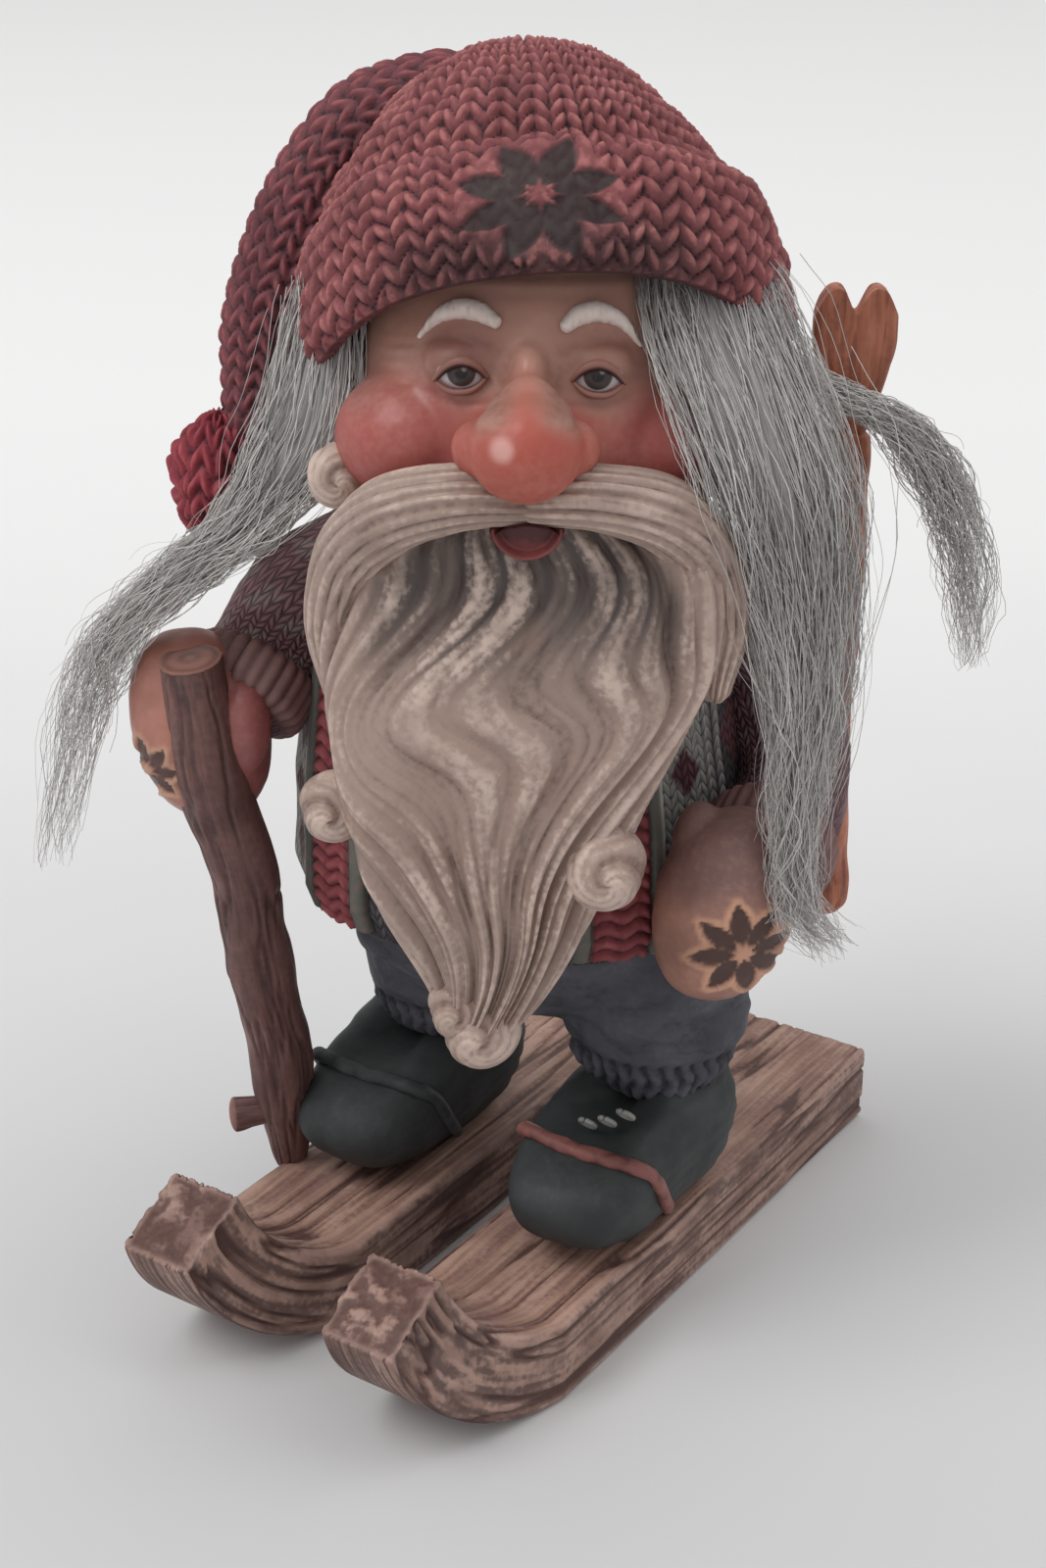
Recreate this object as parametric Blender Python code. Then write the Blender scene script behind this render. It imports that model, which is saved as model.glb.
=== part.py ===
"""Gnome figurine on skis: one painted resin casting with hanks of fibre hair glued under its hat.

Metres, +Z up. The skis stand on z = 0 with their tips towards -Y, and the origin is on the floor
midway between them. The feet face -Y, the torso is turned a little towards +X and the head more so.
A place on the figure is given in a turned frame: lateral (towards the viewer's right when the
viewer faces it), forward (out of its front) and height above the floor.
"""

import math

import bmesh
import bpy
from mathutils import Vector

# Body: where its upright axis stands behind the middle of the skis, and how its storeys are turned
AXIS_BACK = 0.003
HEAD_TURN = math.radians(34)
TORSO_TURN = math.radians(17)

# Skis
SKI_LENGTH = 0.0816
SKI_WIDTH = 0.0165
SKI_THICKNESS = 0.0088
SKI_SPACING = 0.024
SKI_CURL_RADIUS = 0.0200
SKI_CURL_ANGLE = math.radians(72)
SKI_TIP_CUT = math.radians(8)
SKI_TIP_WIDTH = 0.0082
SKI_TIP_SKEW = 0.0019
SKI_GRAIN_DEPTH = 0.0005
SKI_GRAIN_LINES = 4
SKI_STRAIGHT_STEPS = 2
SKI_CURL_STEPS = 7

# Boots: the ankle stands on the leg's centre
BOOT_WIDTH = 0.0152
BOOT_TOE_REACH = 0.0205
BOOT_HEEL_REACH = 0.0085
BOOT_TOE_HEIGHT = 0.0125
BOOT_ANKLE_HEIGHT = 0.0165
BOOT_SINK = 0.0008
BOOT_SPACING = 0.0262
BOOT_SHIFT = 0.0007
BOOT_SQUARENESS = 0.62
STRAP_RADIUS = 0.0009
STRAP_BACK_FROM_TOE = 0.0095

# Trousers
LEG_RADIUS = 0.0096
LEG_SHIFT = 0.0017
LEG_HEM_HEIGHT = 0.0125
LEG_RISE = 0.0265
SEAT_HALF_WIDTH = 0.0205
SEAT_HALF_DEPTH = 0.0160
SEAT_HALF_HEIGHT = 0.0125

# Sweater
HEM_HEIGHT = 0.0400
TORSO_HEIGHT = 0.0450
TORSO_HALF_WIDTH = 0.0232
TORSO_HALF_DEPTH = 0.0190
TORSO_SHIFT = 0.0012
FRONT_BAND_WIDTH = 0.0078
FRONT_BAND_PROUD = 0.0009
FRONT_BAND_TURN = math.radians(38)
SLEEVE_RADIUS = 0.0058
CUFF_RADIUS = 0.0064

# Head
HEAD_SHIFT = 0.0007
HEAD_MIDDLE = 0.095
HEAD_FORWARD = 0.0095
HEAD_HALF_WIDTH = 0.0165
HEAD_HALF_DEPTH = 0.0195
HEAD_HALF_HEIGHT = 0.0225
HEAD_LEAN = 0.22

# Hat: it leans back, and its edge is level in its own leaning frame
HAT_LEAN = math.radians(29)
HAT_FORWARD = 0.008
HAT_EDGE_MIDDLE = 0.0961
HAT_HALF_WIDTH = 0.0213
HAT_HALF_DEPTH = 0.0255
HAT_TILT = 0.0013
HAT_COLUMNS = 22
HAT_STITCH_DEPTH = 0.00035
TAIL_RADIUS = 0.0047
TASSEL_HALF_WIDTH = 0.0046
TASSEL_HALF_HEIGHT = 0.0064

# Face
NOSE_HALF_WIDTH = 0.0047
NOSTRIL_RADIUS = 0.0030
CHEEK_HALF_WIDTH = 0.0074
CHEEK_SPREAD = 0.0208
CHEEK_FORWARD = 0.0198
EYE_RADIUS = 0.0026
EYE_SPREAD = 0.0112
EYE_HEIGHT = 0.0992
BROW_RADIUS = 0.00065
BROW_SINK = 0.00015

# Beard and moustache
BEARD_THICKNESS = 0.017
BEARD_STRANDS = 11
BEARD_STRAND_DEPTH = 0.0006
MOUSTACHE_RADIUS = 0.0030
WHISKERS_ASIDE = 0.0069
WHISKERS_DROP = 0.0104

# Mittens
MITTEN_HALF_WIDTH = 0.0066
MITTEN_HALF_HEIGHT = 0.0094

# Staff in the right hand, and the fork-topped stick held behind the left arm
STAFF_RADIUS = 0.0033
STAFF_STUB_RADIUS = 0.0019
STICK_RADIUS = 0.0019
FORK_WIDTH = 0.0078
FORK_LENGTH = 0.0145
FORK_THICKNESS = 0.0026

# Hair
HAIR_SEGMENTS = 12
HAIR_WRAP = 0.5


# The beard's outline, from its top to its tip: height, left edge, right edge, front
BEARD_OUTLINE = (
    (0.0905, -0.0030, 0.0022, 0.0305),
    (0.0885, -0.0120, 0.0110, 0.0312),
    (0.0850, -0.0172, 0.0158, 0.0316),
    (0.0800, -0.0186, 0.0170, 0.0322),
    (0.0740, -0.0184, 0.0156, 0.0330),
    (0.0680, -0.0177, 0.0128, 0.0338),
    (0.0610, -0.0168, 0.0096, 0.0342),
    (0.0550, -0.0150, 0.0066, 0.0342),
    (0.0500, -0.0125, 0.0042, 0.0340),
    (0.0450, -0.0098, 0.0012, 0.0334),
    (0.0410, -0.0078, -0.0016, 0.0326),
    (0.0384, -0.0052, -0.0044, 0.0318),
)

# The torso's outline, from its top to its hem: share of its height, of its width and of its depth
TORSO_OUTLINE = (
    (0.00, 0.10, 0.10),
    (0.06, 0.50, 0.60),
    (0.20, 0.78, 0.88),
    (0.40, 0.90, 1.00),
    (0.70, 0.98, 1.02),
    (0.93, 1.00, 1.00),
    (1.00, 0.95, 0.95),
)

# The hat's outline in its leaning frame, from its crown to its edge: height above the edge,
# share of its half width, and share of the stitch depth. The turned-up cuff starts at the step.
HAT_OUTLINE = (
    (0.0278, 0.000, 0.0),
    (0.0262, 0.275, 0.2),
    (0.0228, 0.540, 0.8),
    (0.0187, 0.725, 1.0),
    (0.0150, 0.835, 1.0),
    (0.0117, 0.880, 0.8),
    (0.0107, 0.955, 1.0),
    (0.0075, 1.010, 1.2),
    (0.0030, 1.020, 1.2),
    (0.0000, 0.985, 0.8),
    (0.0008, 0.900, 0.0),
    (0.0040, 0.700, 0.0),
    (0.0070, 0.000, 0.0),
)


def place(turn, lateral, forward, height):
    """The point at these distances in a frame turned about the body's axis."""
    return Vector((
        lateral * math.cos(turn) + forward * math.sin(turn),
        AXIS_BACK + lateral * math.sin(turn) - forward * math.cos(turn),
        height,
    ))


def on_head(lateral, forward, height):
    """The point in the head's frame, with height counted from the floor."""
    return place(HEAD_TURN, lateral, forward, height)


def on_torso(lateral, forward, height):
    """The point in the torso's frame, with height counted from the floor."""
    return place(TORSO_TURN, lateral, forward, height)


def rounded(value, power):
    """Raises a value's size to a power and keeps its sign: under 1 it squares an ellipse off."""
    return math.copysign(abs(value) ** power, value)


def from_table(table, key, column):
    """Reads one column of a table whose first column rises or falls steadily, between its rows."""
    rising = table[0][0] < table[-1][0]
    rows = table if rising else table[::-1]
    if key <= rows[0][0]:
        return rows[0][column]
    for low, high in zip(rows, rows[1:]):
        if key <= high[0]:
            share = (key - low[0]) / (high[0] - low[0])
            return low[column] + share * (high[column] - low[column])
    return rows[-1][column]


def new_collection(name, shown):
    """A collection linked to the scene, left out of renders where it only holds helpers."""
    made = bpy.data.collections.new(name)
    made.hide_render = not shown
    bpy.context.scene.collection.children.link(made)
    return made


def new_material(name, colour, roughness):
    """A plain painted or fibre surface."""
    made = bpy.data.materials.new(name)
    made.use_nodes = True
    shader = made.node_tree.nodes["Principled BSDF"]
    shader.inputs["Base Color"].default_value = (*colour, 1.0)
    shader.inputs["Roughness"].default_value = roughness
    shader.inputs["Metallic"].default_value = 0.0
    return made


def add_mesh(name, bm, collection):
    """Turns a bmesh into an object of the collection."""
    bmesh.ops.recalc_face_normals(bm, faces=bm.faces)
    mesh = bpy.data.meshes.new(name)
    bm.to_mesh(mesh)
    bm.free()
    made = bpy.data.objects.new(name, mesh)
    collection.objects.link(made)
    if collection.hide_render:
        made.hide_render = True
        made.display_type = "WIRE"
    return made


def mould(name, segments, rings, shape, collection):
    """A closed form: a sphere whose every point is moved to shape(turn, drop).

    turn is the angle round the upright axis, 0 at the front and positive towards the viewer's
    right, and drop runs from 0 at the top to 1 at the bottom.
    """
    bm = bmesh.new()
    bmesh.ops.create_uvsphere(bm, u_segments=segments, v_segments=rings, radius=1.0)
    for vertex in bm.verts:
        x, y, z = vertex.co
        turn = math.atan2(x, -y) if math.hypot(x, y) > 1e-6 else 0.0
        vertex.co = shape(turn, math.acos(max(-1.0, min(1.0, z))) / math.pi)
    return add_mesh(name, bm, collection)


def ball(name, centre, radii, collection, segments=14, rings=8, frame=on_head):
    """An ellipsoid in a turned frame: centre and radii are lateral, forward, height."""

    def shape(turn, drop):
        ring = math.sin(math.pi * drop)
        return frame(
            centre[0] + radii[0] * ring * math.sin(turn),
            centre[1] + radii[1] * ring * math.cos(turn),
            centre[2] + radii[2] * math.cos(math.pi * drop),
        )

    return mould(name, segments, rings, shape, collection)


def mesh_of(curve, collection):
    """Replaces a curve object by its mesh, welded where its caps meet its sides."""
    bpy.context.view_layer.update()
    graph = bpy.context.evaluated_depsgraph_get()
    mesh = bpy.data.meshes.new_from_object(curve.evaluated_get(graph))
    name, matrix = curve.name, curve.matrix_world.copy()
    bpy.data.objects.remove(curve)
    bm = bmesh.new()
    bm.from_mesh(mesh)
    bpy.data.meshes.remove(mesh)
    bmesh.ops.remove_doubles(bm, verts=bm.verts, dist=1e-6)
    made = add_mesh(name, bm, collection)
    made.matrix_world = matrix
    return made


def rod(name, points, radii, collection, resolution=2, steps=4):
    """A round rod through points, with its own radius at each, smooth between them."""
    data = bpy.data.curves.new(name, "CURVE")
    data.dimensions = "3D"
    data.bevel_depth = 1.0
    data.bevel_resolution = resolution
    data.resolution_u = steps
    data.use_fill_caps = True
    spline = data.splines.new("BEZIER")
    spline.bezier_points.add(len(points) - 1)
    for knot, point, radius in zip(spline.bezier_points, points, radii):
        knot.co = point
        knot.radius = radius
        knot.handle_left_type = knot.handle_right_type = "AUTO"
    curve = bpy.data.objects.new(name, data)
    collection.objects.link(curve)
    return mesh_of(curve, collection)


def gridded_box(cuts):
    """A box from -1 to 1 whose edges along X, Y and Z are cut into that many lengths."""
    bm = bmesh.new()
    bmesh.ops.create_cube(bm, size=2.0)
    for axis, count in enumerate(cuts):
        along = [
            edge for edge in bm.edges
            if abs(abs((edge.verts[0].co - edge.verts[1].co).normalized()[axis]) - 1.0) < 1e-4
        ]
        if count > 1:
            bmesh.ops.subdivide_edges(bm, edges=along, cuts=count - 1, use_grid_fill=True)
    return bm


def ski(name, side, collection):
    """One ski: a thick board with grain grooves, straight and then curled up to a narrower tip."""
    curl_start = -SKI_LENGTH / 2 + SKI_CURL_RADIUS * math.sin(SKI_CURL_ANGLE)
    straight = SKI_LENGTH / 2 - curl_start
    steps = SKI_STRAIGHT_STEPS + SKI_CURL_STEPS
    bm = gridded_box((2 * SKI_GRAIN_LINES, steps, 1))
    for vertex in bm.verts:
        across, along, up = vertex.co
        station = (1.0 - along) / 2 * steps
        curled = max(0.0, station - SKI_STRAIGHT_STEPS) / SKI_CURL_STEPS
        behind = min(station, SKI_STRAIGHT_STEPS) / SKI_STRAIGHT_STEPS
        half_width = (SKI_WIDTH + (SKI_TIP_WIDTH - SKI_WIDTH) * curled) / 2
        column = round((across + 1.0) * SKI_GRAIN_LINES)
        groove = SKI_GRAIN_DEPTH if column % 2 and up > 0 else 0.0
        height = SKI_THICKNESS * (up + 1.0) / 2 - groove
        angle = (SKI_CURL_ANGLE + SKI_TIP_CUT * height / SKI_THICKNESS) * curled
        vertex.co = (
            side * SKI_SPACING / 2 + across * half_width - SKI_TIP_SKEW * curled,
            SKI_LENGTH / 2 - straight * behind
            - (SKI_CURL_RADIUS - height) * math.sin(angle),
            SKI_CURL_RADIUS - (SKI_CURL_RADIUS - height) * math.cos(angle),
        )
    return add_mesh(name, bm, collection)


def boot(name, side, collection):
    """One boot on its ski: a round toe cap, a heel and an ankle that runs up into the trousers."""
    ankle = Vector((side * BOOT_SPACING / 2 + BOOT_SHIFT, AXIS_BACK + 0.001, 0.0))
    base = SKI_THICKNESS - BOOT_SINK

    def shape(turn, drop):
        front = math.cos(turn)
        reach = BOOT_TOE_REACH if front > 0 else BOOT_HEEL_REACH
        ring = math.sin(math.pi * drop) ** 0.55
        rise = BOOT_ANKLE_HEIGHT + (BOOT_TOE_HEIGHT - BOOT_ANKLE_HEIGHT) * max(0.0, front)
        height = base + rise * max(0.0, (1.0 + math.cos(math.pi * drop)) / 2) ** 0.8
        return ankle + Vector((
            BOOT_WIDTH / 2 * ring * rounded(math.sin(turn), BOOT_SQUARENESS),
            -reach * ring * rounded(front, BOOT_SQUARENESS),
            height,
        ))

    return mould(name, 16, 8, shape, collection)


def strap(name, side, collection):
    """The leather loop that holds a boot's toe down on its ski."""
    top = SKI_THICKNESS + BOOT_TOE_HEIGHT
    y = AXIS_BACK - BOOT_TOE_REACH + STRAP_BACK_FROM_TOE
    x = side * BOOT_SPACING / 2 + BOOT_SHIFT
    half = BOOT_WIDTH / 2 - STRAP_RADIUS / 2
    points = [
        Vector((x - half, y, SKI_THICKNESS - STRAP_RADIUS)),
        Vector((x - half * 0.9, y, SKI_THICKNESS + (top - SKI_THICKNESS) * 0.6)),
        Vector((x, y + 0.0015, top - STRAP_RADIUS / 2)),
        Vector((x + half * 0.9, y, SKI_THICKNESS + (top - SKI_THICKNESS) * 0.6)),
        Vector((x + half, y, SKI_THICKNESS - STRAP_RADIUS)),
    ]
    return rod(name, points, [STRAP_RADIUS] * len(points), collection, 1, 3)


def trouser_leg(name, side, collection):
    """One baggy trouser leg, gathered at its hem over the boot."""
    middle = Vector((side * SKI_SPACING / 2 + LEG_SHIFT, AXIS_BACK + 0.001 * (1 + side), 0.0))
    hem = SKI_THICKNESS + LEG_HEM_HEIGHT

    def shape(turn, drop):
        ring = math.sin(math.pi * drop) ** 0.36
        pull = 1.0 + 0.05 * math.cos(6 * turn) * drop
        height = hem + LEG_RISE * (1.0 + math.cos(math.pi * drop)) / 2
        return middle + Vector((
            LEG_RADIUS * ring * pull * math.sin(turn),
            -LEG_RADIUS * ring * pull * math.cos(turn),
            height,
        ))

    return mould(name, 20, 9, shape, collection)


def trouser_seat(name, collection):
    """The seat of the trousers, between the legs and the sweater's hem."""
    middle = (0.0, 0.0, HEM_HEIGHT)
    radii = (SEAT_HALF_WIDTH, SEAT_HALF_DEPTH, SEAT_HALF_HEIGHT)
    return ball(name, middle, radii, collection, 20, 10, on_torso)


def torso(name, collection):
    """The sweater's barrel, from the shoulders down to a straight hem."""

    def shape(turn, drop):
        width = TORSO_HALF_WIDTH * from_table(TORSO_OUTLINE, drop, 1)
        depth = TORSO_HALF_DEPTH * from_table(TORSO_OUTLINE, drop, 2)
        closing = math.sin(math.pi * drop) > 1e-6
        return on_torso(
            width * math.sin(turn) * closing - TORSO_SHIFT,
            depth * math.cos(turn) * closing,
            HEM_HEIGHT + TORSO_HEIGHT * (1.0 - drop),
        )

    return mould(name, 28, 12, shape, collection)


def front_band(name, side, collection):
    """One raised knitted band down the sweater's front, beside the beard."""
    bm = gridded_box((4, 1, 8))
    for vertex in bm.verts:
        across, out, up = vertex.co
        height = HEM_HEIGHT + 0.0008 + TORSO_HEIGHT * 0.62 * (up + 1.0) / 2
        drop = 1.0 - (height - HEM_HEIGHT) / TORSO_HEIGHT
        width = TORSO_HALF_WIDTH * from_table(TORSO_OUTLINE, drop, 1)
        depth = TORSO_HALF_DEPTH * from_table(TORSO_OUTLINE, drop, 2)
        turn = side * FRONT_BAND_TURN + across * FRONT_BAND_WIDTH / 2 / TORSO_HALF_DEPTH
        proud = FRONT_BAND_PROUD if out < 0 else -0.003
        vertex.co = on_torso(
            (width + proud) * math.sin(turn) - TORSO_SHIFT,
            (depth + proud) * math.cos(turn),
            height,
        )
    return add_mesh(name, bm, collection)


def sleeve_and_cuff(name, points, collection):
    """A bent sleeve from the shoulder to the wrist, with a thicker knitted cuff at its end."""
    radii = [SLEEVE_RADIUS * (1.12 - 0.06 * index) for index in range(len(points))]
    made = [rod(name, points, radii, collection, 2, 3)]
    wrist, last = points[-1], points[-2]
    direction = (wrist - last).normalized()
    cuff = [wrist - direction * 0.0028, wrist, wrist + direction * 0.0012]
    cuff_radii = [CUFF_RADIUS * share for share in (0.92, 1.0, 0.92)]
    made.append(rod(f"{name}_cuff", cuff, cuff_radii, collection, 2, 2))
    return made


def on_hat(lateral, forward, up):
    """The point in the hat's leaning frame, whose origin is the middle of the hat's edge."""
    return on_head(
        HEAD_SHIFT + lateral - up * HAT_TILT / HAT_HALF_WIDTH,
        HAT_FORWARD + forward * math.cos(HAT_LEAN) - up * math.sin(HAT_LEAN),
        HAT_EDGE_MIDDLE + forward * math.sin(HAT_LEAN) + up * math.cos(HAT_LEAN)
        + HAT_TILT * lateral / HAT_HALF_WIDTH,
    )


def hat(name, collection):
    """The knitted hat: columns of stitches over a dome, with a turned-up cuff."""
    rings = len(HAT_OUTLINE) - 1

    def shape(turn, drop):
        up, share, stitch = HAT_OUTLINE[round(drop * rings)]
        column = round(turn / (2 * math.pi) * 2 * HAT_COLUMNS)
        proud = HAT_STITCH_DEPTH * stitch * (1 if column % 2 else -1)
        return on_hat(
            (HAT_HALF_WIDTH * share + proud) * math.sin(turn),
            (HAT_HALF_DEPTH * share + proud) * math.cos(turn),
            up,
        )

    return mould(name, 2 * HAT_COLUMNS, rings, shape, collection)


def hat_tail(name, collection):
    """The hat's long point, folded over the crown and hanging down beside the head."""
    path = ((-3.0, -3.0, 115.5), (-8.5, -3.0, 116.2), (-13.5, -3.0, 114.4), (-18.0, -3.0, 110.6),
            (-21.2, -2.5, 105.2), (-23.4, -2.0, 99.0), (-24.4, -1.5, 93.0), (-24.9, -0.5, 88.0))
    points = [on_head(lateral / 1000, forward / 1000, height / 1000)
              for lateral, forward, height in path]
    radii = [TAIL_RADIUS * share for share in (0.9, 1.0, 1.0, 0.98, 0.98, 1.0, 0.98, 0.85)]
    return rod(name, points, radii, collection, 2, 2)


def tassel(name, collection):
    """The yarn tassel at the tail's end."""
    centre = (-0.0293, 0.0, 0.0825)
    radii = (TASSEL_HALF_WIDTH, TASSEL_HALF_WIDTH, TASSEL_HALF_HEIGHT)
    return ball(name, centre, radii, collection, 12, 8)


def head(name, collection):
    """The head under the hat, leaning back so that the chin comes forward."""

    def shape(turn, drop):
        ring = math.sin(math.pi * drop)
        rise = HEAD_HALF_HEIGHT * math.cos(math.pi * drop)
        return on_head(
            HEAD_SHIFT + HEAD_HALF_WIDTH * ring * math.sin(turn),
            HEAD_FORWARD + HEAD_HALF_DEPTH * ring * math.cos(turn) - HEAD_LEAN * rise,
            HEAD_MIDDLE + rise,
        )

    return mould(name, 24, 14, shape, collection)


def face_front(height, lateral=HEAD_SHIFT):
    """How far forward the bare face reaches at this height and this far to the side."""
    rise = height - HEAD_MIDDLE
    aside = (lateral - HEAD_SHIFT) / HEAD_HALF_WIDTH
    ring = math.sqrt(max(0.0, 1.0 - (rise / HEAD_HALF_HEIGHT) ** 2 - aside ** 2))
    return HEAD_FORWARD + HEAD_HALF_DEPTH * ring - HEAD_LEAN * rise


def face(collection):
    """Cheeks, nose, eyes and brows."""
    made = []
    nose_height = EYE_HEIGHT - 0.0040
    nose_front = face_front(nose_height) + 0.0052
    wide = NOSE_HALF_WIDTH
    made.append(ball("nose", (-0.0008, nose_front, nose_height),
                     (wide, wide, wide * 0.95), collection, 14, 8))
    made.append(ball("nose_bridge", (-0.0004, face_front(EYE_HEIGHT) - 0.0006, EYE_HEIGHT - 0.0006),
                     (wide * 0.5, wide * 0.75, wide * 0.9), collection, 10, 6))
    for side, label in ((-1, "right"), (1, "left")):
        made.append(ball(f"nostril_{label}",
                         (side * wide * 0.92 - 0.0008, nose_front - 0.0026, nose_height - 0.0009),
                         (NOSTRIL_RADIUS, NOSTRIL_RADIUS, NOSTRIL_RADIUS * 0.85),
                         collection, 10, 6))
        made.append(ball(f"cheek_{label}",
                         (HEAD_SHIFT + side * CHEEK_SPREAD / 2, CHEEK_FORWARD, EYE_HEIGHT - 0.0070),
                         (CHEEK_HALF_WIDTH, CHEEK_HALF_WIDTH, CHEEK_HALF_WIDTH * 0.82),
                         collection, 14, 8))
        made.append(ball(f"eye_{label}",
                         (side * EYE_SPREAD / 2 - 0.0005, face_front(EYE_HEIGHT) - 0.0030, EYE_HEIGHT),
                         (EYE_RADIUS, EYE_RADIUS, EYE_RADIUS * 0.8), collection, 10, 6))
        brow = []
        for share, rise in ((-0.32, 0.0045), (0.0, 0.0060), (0.34, 0.0042)):
            lateral = side * EYE_SPREAD / 2 + side * share * 0.0062 - 0.0005
            height = EYE_HEIGHT + rise
            brow.append(on_head(lateral, face_front(height, lateral) - BROW_SINK, height))
        made.append(rod(f"brow_{label}", brow,
                        [BROW_RADIUS * share for share in (0.8, 1.0, 0.5)], collection, 1, 3))
    return made


def beard(name, collection):
    """The beard: strands that leave the mouth, sway and run together to the tip."""
    top, tip = BEARD_OUTLINE[0][0], BEARD_OUTLINE[-1][0]

    def shape(turn, drop):
        height = top + (tip - top) * drop
        left = from_table(BEARD_OUTLINE, height, 1)
        right = from_table(BEARD_OUTLINE, height, 2)
        front = from_table(BEARD_OUTLINE, height, 3)
        closing = min(1.0, math.sin(math.pi * drop) * 6)
        column = round(turn / (2 * math.pi) * 4 * BEARD_STRANDS)
        facing = math.cos(turn)
        swayed = turn + 0.22 * math.sin(2 * math.pi * drop * 1.4) * max(0.0, facing)
        strand = BEARD_STRAND_DEPTH * (1 if column % 2 else -1) * closing * max(0.0, facing)
        swell = math.copysign(abs(facing) ** 0.6, facing)
        return on_head(
            (left + right) / 2 + (right - left) / 2 * math.sin(swayed) * min(1.0, closing + 0.2),
            front - BEARD_THICKNESS / 2 + (BEARD_THICKNESS / 2 * swell + strand) * closing,
            height,
        )

    return mould(name, 4 * BEARD_STRANDS, 16, shape, collection)


def curls(collection):
    """The locks that curl out of the beard's edges, its tip, and the whiskers before the ear."""
    places = (
        ("curl_right", (-0.0178, 0.0272, 0.0608), 0.0029),
        ("curl_left", (0.0062, 0.0310, 0.0568), 0.0036),
        ("curl_tip", (-0.0070, 0.0300, 0.0425), 0.0026),
        ("tip", (-0.0050, 0.0300, 0.0405), 0.0036),
        ("whiskers", (HEAD_SHIFT - CHEEK_SPREAD / 2 - WHISKERS_ASIDE,
                      CHEEK_FORWARD + 0.0007, EYE_HEIGHT - WHISKERS_DROP), 0.0026),
    )
    return [
        ball(name, centre, (radius, radius * 1.15, radius), collection, 12, 8)
        for name, centre, radius in places
    ]


def moustache(name, side, collection):
    """One half of the moustache, from under the nose out and down the beard's side."""
    path = ((0.4, 0.0316, 0.0902), (5.8, 0.0322, 0.0905), (11.2, 0.0300, 0.0884),
            (15.0, 0.0268, 0.0838), (16.6, 0.0254, 0.0775), (16.2, 0.0258, 0.0715))
    points = [on_head(side * lateral * 0.001 - 0.0006, forward, height)
              for lateral, forward, height in path]
    radii = [MOUSTACHE_RADIUS * share for share in (0.62, 0.85, 1.0, 0.95, 0.8, 0.45)]
    return rod(name, points, radii, collection, 2, 2)


def right_hand():
    """The middle of the mitten that grips the staff."""
    return on_head(-0.0316, 0.0080, 0.0606)


def left_hand():
    """The middle of the mitten at the left hip."""
    return on_head(0.0176, 0.0205, 0.0478)


def mitten(name, centre, lean, collection):
    """A mitten: a closed hand with a thumb beside it."""
    middle = Vector(centre)

    def shape(turn, drop):
        ring = math.sin(math.pi * drop) ** 0.8
        rise = MITTEN_HALF_HEIGHT * math.cos(math.pi * drop)
        offset = on_head(
            MITTEN_HALF_WIDTH * ring * math.sin(turn) + lean * rise,
            MITTEN_HALF_WIDTH * 0.85 * ring * math.cos(turn),
            rise,
        ) - on_head(0.0, 0.0, 0.0)
        return middle + offset

    return mould(name, 18, 10, shape, collection)


def arms(collection):
    """Both arms, with their cuffs and mittens."""
    hand = right_hand()
    path = [
        on_head(-0.0160, 0.0010, 0.0735),
        on_head(-0.0218, 0.0010, 0.0705),
        on_head(-0.0252, 0.0025, 0.0665),
        hand + (on_head(0.0040, -0.0020, 0.0025) - on_head(0.0, 0.0, 0.0)),
    ]
    made = sleeve_and_cuff("sleeve_right", path, collection)
    made.append(mitten("mitten_right", hand, -0.10, collection))
    hand = left_hand()
    path = [
        on_head(0.0140, 0.0030, 0.0735),
        on_head(0.0205, 0.0025, 0.0685),
        on_head(0.0244, 0.0045, 0.0600),
        on_head(0.0247, 0.0090, 0.0535),
        hand + (on_head(0.0040, -0.0045, 0.0030) - on_head(0.0, 0.0, 0.0)),
    ]
    made += sleeve_and_cuff("sleeve_left", path, collection)
    made.append(mitten("mitten_left", hand, 0.12, collection))
    return made


def staff(collection):
    """The staff: a cut branch on the right ski's outer edge, with a stub, held in the mitten."""
    path = ((-25.4, 2.0, 8.4, 0.50), (-25.7, 2.8, 15.0, 0.85), (-26.1, 3.5, 22.5, 1.0),
            (-27.0, 5.0, 30.5, 1.03), (-27.8, 6.7, 38.0, 1.0), (-28.2, 8.5, 45.0, 1.03),
            (-30.4, 11.0, 57.0, 1.0), (-31.6, 12.5, 68.9, 0.92))
    points = [on_head(lateral / 1000, forward / 1000, height / 1000)
              for lateral, forward, height, _ in path]
    made = [rod("staff", points, [STAFF_RADIUS * row[3] for row in path], collection, 2, 2)]
    stub = [points[1], points[1] + (on_head(-0.0052, 0.0012, 0.0) - on_head(0.0, 0.0, 0.0))]
    made.append(rod("staff_stub", stub, [STAFF_STUB_RADIUS, STAFF_STUB_RADIUS], collection, 2, 1))
    return made


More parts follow.
